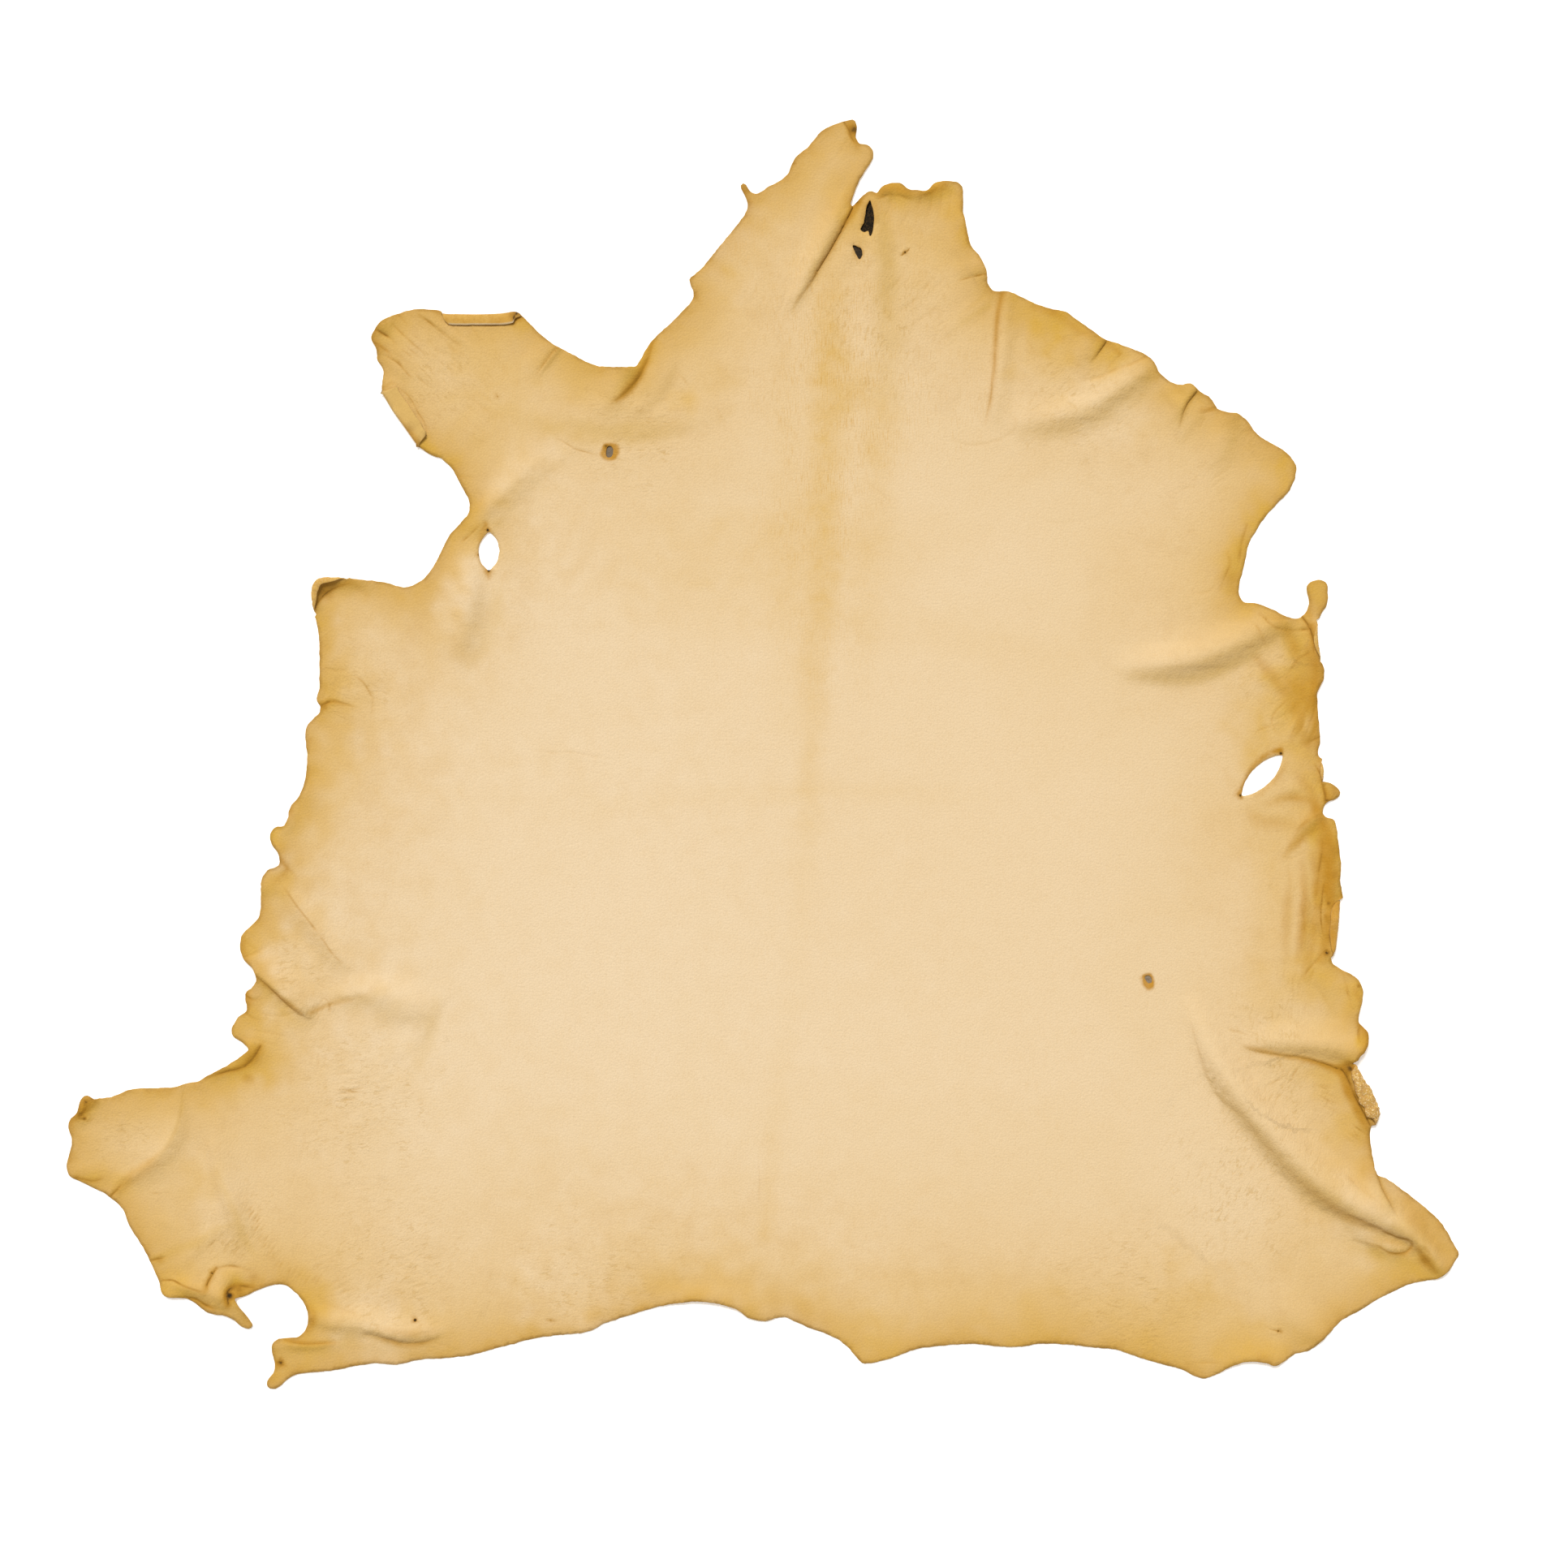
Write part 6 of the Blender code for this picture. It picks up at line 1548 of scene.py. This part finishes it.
leather = {
    "brightness": 0.875,
    "soak": (  # metres in from the rim, and the colour there
        (0.000, (0.600, 0.345, 0.085)), (0.004, (0.655, 0.398, 0.112)), (0.010, (0.700, 0.440, 0.142)),
        (0.018, (0.728, 0.472, 0.172)), (0.030, (0.758, 0.512, 0.217)), (0.050, (0.785, 0.550, 0.266)),
        (0.090, (0.812, 0.590, 0.322)), (0.150, (0.830, 0.622, 0.365)), (0.260, (0.850, 0.650, 0.404))),
    "pale": (0.885, 0.704, 0.478),
    "gold": (0.690, 0.400, 0.040),
    "amber": (0.530, 0.255, 0.024),
    # the colour of the painted shade on lee slopes and along hollows
    "shade": (0.620, 0.370, 0.040),
    "crease": (0.230, 0.105, 0.016),
    "rimLine": (0.360, 0.190, 0.036),
    "fleck": (0.660, 0.420, 0.165),
    "hair": (0.640, 0.340, 0.050),
    "crack": (0.580, 0.350, 0.100),
    "fleshPale": (0.640, 0.390, 0.098),
    "flap": (0.640, 0.415, 0.135),
    "fleshLight": (0.820, 0.600, 0.300),
    "fleshGold": (0.560, 0.312, 0.064),
    "fleshDark": (0.340, 0.180, 0.040),
    "fleshRed": (0.520, 0.275, 0.080),
    "raw": (0.820, 0.700, 0.490),
    # painted shadow in pits and notches
    "pit": (0.045, 0.026, 0.008),
    # painted shadow seen through the torn holes, from its darkest to its palest
    "holeShadowDark": (0.014, 0.011, 0.008),
    "innerPale": (0.250, 0.200, 0.145),
    "grainSize": 2.0,  # millimetres across one pebble of the grain
    "grainHeight": 0.31,  # millimetres
    "grainRoughness": 0.66,
    "grainShine": 0.07,
    "fleshHeight": 0.4,  # millimetres
    "fleshRoughness": 0.92,
    "fleshShine": 0.12,
    "fleshSheen": 0.15,
}

# Noise in the materials. Columns: size in millimetres, detail, roughness, warp, and "2D" for noise
# that is the same at every height, which is quicker.
fogs = {
    "cloud": (110, 4, 0.55, 0.5, "3D"),
    "patch": (26, 5, 0.62, 0.3, "3D"),
    "fleck": (5.5, 3, 0.7, 0.0, "2D"),
    "speck": (1.5, 2, 0.7, 0.0, "2D"),
    "wrinkle": (5.2, 4, 0.62, 1.2, "2D"),
    "fold": (3.1, 3, 0.6, 0.5, "2D"),
    "crackPlace": (16, 3, 0.6, 0.0, "2D"),
    "hair": (1.0, 2, 0.6, 0.0, "2D"),
    "hairPlace": (34, 4, 0.6, 0.0, "2D"),
    "rimPlace": (20, 3, 0.6, 0.0, "3D"),
    "nap": (1.6, 4, 0.7, 0.8, "3D"),
    "fluff": (1.5, 2, 0.6, 0.0, "3D"),
    "lump": (3.2, 2, 0.6, 0.0, "3D"),
    "blotch": (6, 4, 0.65, 0.5, "3D"),
    "strand": (1.3, 4, 0.7, 1.2, "3D"),
}


def shaderKit(name):  # a new material and short ways to add nodes to it
    material = bpy.data.materials.new(name)
    material.use_nodes = True
    tree = material.node_tree

    def wire(value, socket):
        if isinstance(value, bpy.types.NodeSocket):
            tree.links.new(value, socket)
        elif isinstance(value, tuple) and len(value) == 3 and len(socket.default_value) == 4:
            socket.default_value = (*value, 1)
        else:
            socket.default_value = value

    def add(kind, **settings):
        node = tree.nodes.new(kind)
        node.location = (-2600 + 90 * (len(tree.nodes) % 26), 320 - 130 * (len(tree.nodes) % 7))
        for key, value in settings.items():
            if key in node.inputs.keys():
                wire(value, node.inputs[key])
            else:
                setattr(node, key, value)
        return node

    def do(kind, *values):
        node = add("ShaderNodeMath", operation=kind)
        for socket, value in zip(node.inputs, values):
            wire(value, socket)
        return node.outputs[0]

    def spread(value, low, high):  # value from low to high becomes 0 to 1
        made = do("DIVIDE", do("SUBTRACT", value, low), high - low)
        return do("MINIMUM", do("MAXIMUM", made, 0.0), 1.0)

    def tuned(value, other, gain, least):  # value times a share that grows with another value
        return do("MULTIPLY", value, do("MULTIPLY_ADD", other, gain, least))

    def mark(attribute):
        return add("ShaderNodeAttribute", attribute_name=attribute).outputs["Fac"]

    def fog(name, where):
        size, detail, rough, warp, plan = fogs[name]
        node = add("ShaderNodeTexNoise", noise_dimensions=plan, Vector=where, Scale=1 / (size * mm))
        setInputs(node, {"Detail": detail, "Roughness": rough, "Distortion": warp})
        return node.outputs["Fac"]

    def mix(share, first, second, blend="MIX"):
        node = add("ShaderNodeMix", data_type="RGBA", blend_type=blend)
        for k, value in ((0, share), (6, first), (7, second)):
            wire(value, node.inputs[k])
        return node.outputs[2]

    def layered(colour, layers):  # each layer of colour goes on by its share
        for share, tint in layers:
            colour = mix(share, colour, leather[tint])
        return colour

    def finish(colour, relief, strength, depth, roughness, shine, sheen=0.0):
        shader = tree.nodes["Principled BSDF"]
        bumpNode = add("ShaderNodeBump", Strength=strength, Distance=depth * mm, Height=relief)
        wire(colour, shader.inputs["Base Color"])
        wire(bumpNode.outputs["Normal"], shader.inputs["Normal"])
        setInputs(shader, {"Roughness": roughness, "Specular IOR Level": shine, "Sheen Weight": sheen})
        return material

    return add, do, spread, mark, fog, layered, finish, tuned, mix


def grainLeather():
    add, do, spread, mark, fog, layered, finish, tuned, mix = shaderKit("grainLeather")
    where = add("ShaderNodeTexCoord").outputs["Object"]
    cloud, patch, fleck, speck = (fog(name, where) for name in ("cloud", "patch", "fleck", "speck"))
    rimGap, brown, crimp = mark("rimGap"), mark("brown"), mark("crimp")
    soaked = tuned(rimGap, cloud, 1.2, 0.40)
    soaked = do("MULTIPLY_ADD", do("SUBTRACT", patch, 0.5), 0.022, soaked)
    deepest = leather["soak"][-1][0]
    ramp = add("ShaderNodeValToRGB", Fac=do("DIVIDE", soaked, deepest))
    stops = ramp.color_ramp.elements
    while len(stops) < len(leather["soak"]):
        stops.new(0.5)
    for element, (depth, colour) in zip(stops, leather["soak"]):
        element.position = depth / deepest
        element.color = (*colour, 1)
    outer = do("SUBTRACT", 1.0, spread(rimGap, 0.02, 0.16))
    mottle = spread(patch, 0.46, 0.72)
    fold = fog("fold", add("ShaderNodeAttribute", attribute_name="weave").outputs["Vector"])
    crack = do("MULTIPLY", spread(fold, 0.48, 0.36), spread(fog("crackPlace", where), 0.38, 0.60))
    strands = add("ShaderNodeMapping", Vector=where, Scale=(1.0, 0.08, 1.0))
    hair = spread(fog("hair", strands.outputs["Vector"]), 0.50, 0.68)
    hairPlace = do("MULTIPLY", mark("hair"), spread(fog("hairPlace", where), 0.26, 0.60))
    rimLine = do("SUBTRACT", 1.0, spread(rimGap, 0.0004, 0.0034))
    rimPlace = spread(fog("rimPlace", where), 0.40, 0.62)
    colour = layered(ramp.outputs["Color"], (
        (mark("pale"), "pale"),
        (tuned(mottle, outer, 0.30, 0.05), "fleck"),
        (do("MINIMUM", tuned(mark("gold"), mottle, 0.40, 0.68), 1.0), "gold"),
        (tuned(spread(fleck, 0.5, 0.8), outer, 0.20, 0.07), "fleck"),
        (tuned(hair, hairPlace, 0.42, 0.06), "hair"),
        # painted shade along hollows and the shaded sides of folds
        (do("MULTIPLY", mark("hollow"), 0.42), "shade"),
        # painted shade: golden-brown on slopes that lean away from the lamp
        (do("MINIMUM", do("MULTIPLY", mark("lee"), 0.85), 0.24), "shade"),
        # darker golden-brown in the valleys of the fine wrinkles: their own colour with painted shade
        (tuned(crack, crimp, 0.34, 0.05), "crack"),
        # amber: stained rings round holes, and along pinched folds the leather's own stain with painted
        # shade
        (do("MINIMUM", tuned(mark("amber"), mottle, 0.30, 0.82), 1.0), "amber"),
        # painted shade: a deep amber fringe round creases and marks, with their own stain
        (do("MINIMUM", do("MULTIPLY", brown, 1.2), 0.85), "amber"),
        (tuned(do("MULTIPLY", brown, brown), fleck, 0.8, 0.6), "crease"),
        # painted shadow: near black where the brown is strongest, in pits and notches
        (spread(brown, 0.72, 0.95), "pit"),
        (tuned(rimLine, rimPlace, 0.55, 0.08), "rimLine"),
    ))
    light = do("MULTIPLY_ADD", do("SUBTRACT", speck, 0.5), 0.20, 1.0)
    light = do("MULTIPLY", light, leather["brightness"])
    grey = add("ShaderNodeCombineColor", Red=light, Green=light, Blue=light).outputs[0]
    colour = mix(1.0, colour, grey, blend="MULTIPLY")
    pebble = add("ShaderNodeTexVoronoi", voronoi_dimensions="2D", feature="SMOOTH_F1", Vector=where)
    setInputs(pebble, {"Smoothness": 0.6, "Scale": 1 / (leather["grainSize"] * mm)})
    relief = do("ADD", do("MULTIPLY", pebble.outputs["Distance"], -0.9), do("MULTIPLY", speck, 0.7))
    for value, gain, least in ((fog("wrinkle", where), 0.5, 0.7), (fold, 1.4, 0.3), (crack, -0.3, 0.0)):
        relief = do("MULTIPLY_ADD", value, do("MULTIPLY_ADD", crimp, gain, least), relief)
    return finish(colour, relief, strength=0.7, depth=leather["grainHeight"],
                  roughness=leather["grainRoughness"], shine=leather["grainShine"])


def fleshLeather():
    add, do, spread, mark, fog, layered, finish, tuned, _ = shaderKit("fleshLeather")
    where = add("ShaderNodeTexCoord").outputs["Object"]
    nap, brown, fuzz = fog("nap", where), mark("brown"), mark("fuzz")
    rimLine = do("SUBTRACT", 1.0, spread(mark("rimGap"), 0.0002, 0.0016))
    colour = layered(leather["fleshPale"], (
        (spread(fog("blotch", where), 0.40, 0.66), "fleshGold"),
        (do("MULTIPLY", fuzz, spread(fog("lump", where), 0.40, 0.62)), "fleshRed"),
        (do("MULTIPLY", mark("tone"), 0.92), "flap"),
        (do("MULTIPLY", fuzz, spread(fog("fluff", where), 0.54, 0.62)), "fleshLight"),
        (tuned(spread(nap, 0.45, 0.7), fuzz, 0.40, 0.20), "fleshDark"),
        (do("MULTIPLY", mark("amber"), 0.85), "amber"),
        (do("MULTIPLY", brown, 0.9), "crease"),
        # painted shadow: near black where the brown is strongest, in pits and notches
        (spread(brown, 0.72, 0.95), "pit"),
        (do("MULTIPLY", rimLine, 0.40), "rimLine"),
        (mark("raw"), "raw"),
    ))
    return finish(colour, nap, strength=0.9, depth=leather["fleshHeight"],
                  roughness=leather["fleshRoughness"], shine=leather["fleshShine"],
                  sheen=leather["fleshSheen"])


# painted shadow: the leaves under the torn holes, near black to grey-brown, stand in for the shade seen
# through them
def holeShadowLeather():
    add, do, spread, mark, fog, layered, finish, *_ = shaderKit("holeShadowLeather")
    strand = fog("strand", add("ShaderNodeTexCoord").outputs["Object"])
    colour = layered(leather["holeShadowDark"], (
        (mark("innerTone"), "innerPale"),
        (do("MULTIPLY", spread(strand, 0.5, 0.75), 0.4), "fleshDark"),
    ))
    return finish(colour, strand, strength=0.9, depth=leather["fleshHeight"], roughness=0.95, shine=0.1)


def addRoom():
    size = room["floorHalf"]
    mesh = bpy.data.meshes.new("floor")
    corners = [(-size, -size, 0), (size, -size, 0), (size, size, 0), (-size, size, 0)]
    mesh.from_pydata(corners, [], [(0, 1, 2, 3)])
    floor = placed("floor", mesh)
    material = bpy.data.materials.new("paleFloor")
    material.use_nodes = True
    setInputs(material.node_tree.nodes["Principled BSDF"], {
        "Base Color": (*room["floor"], 1),
        "Roughness": room["floorRoughness"],
        "Specular IOR Level": room["floorShine"],
        "Emission Color": (1, 1, 1, 1),
        "Emission Strength": room["floorGlow"],
    })
    mesh.materials.append(material)
    world = bpy.data.worlds.new("softRoom")
    world.use_nodes = True
    sky = {"Color": (*room["fillColour"], 1), "Strength": room["fill"]}
    setInputs(world.node_tree.nodes["Background"], sky)
    bpy.context.scene.world = world
    light = bpy.data.lights.new("windowLight", "SUN")
    light.energy = room["lamp"]
    light.angle = math.radians(room["lampSpread"])
    lamp = placed("windowLight", light)
    lamp.location = Vector(room["lampFrom"]) * 2
    lamp.rotation_euler = (-Vector(room["lampFrom"])).to_track_quat("-Z", "Y").to_euler()
    print("room: floor", 2 * size, "metres across, window light from", room["lampFrom"])


def addCamera():
    camera = bpy.data.cameras.new("camera")
    camera.sensor_width = room["sensor"]
    camera.lens = room["sensor"] * room["cameraHeight"] / room["frameWidth"]
    eye = placed("camera", camera)
    eye.location = (*room["aim"], room["cameraHeight"])
    bpy.context.scene.camera = eye
    print("camera:", room["cameraHeight"], "metres up, over", room["aim"])


bpy.context.scene.view_settings.view_transform = "Standard"
skin = addHide()
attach(skin, "root")
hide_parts("hide")
addRoom()
addCamera()
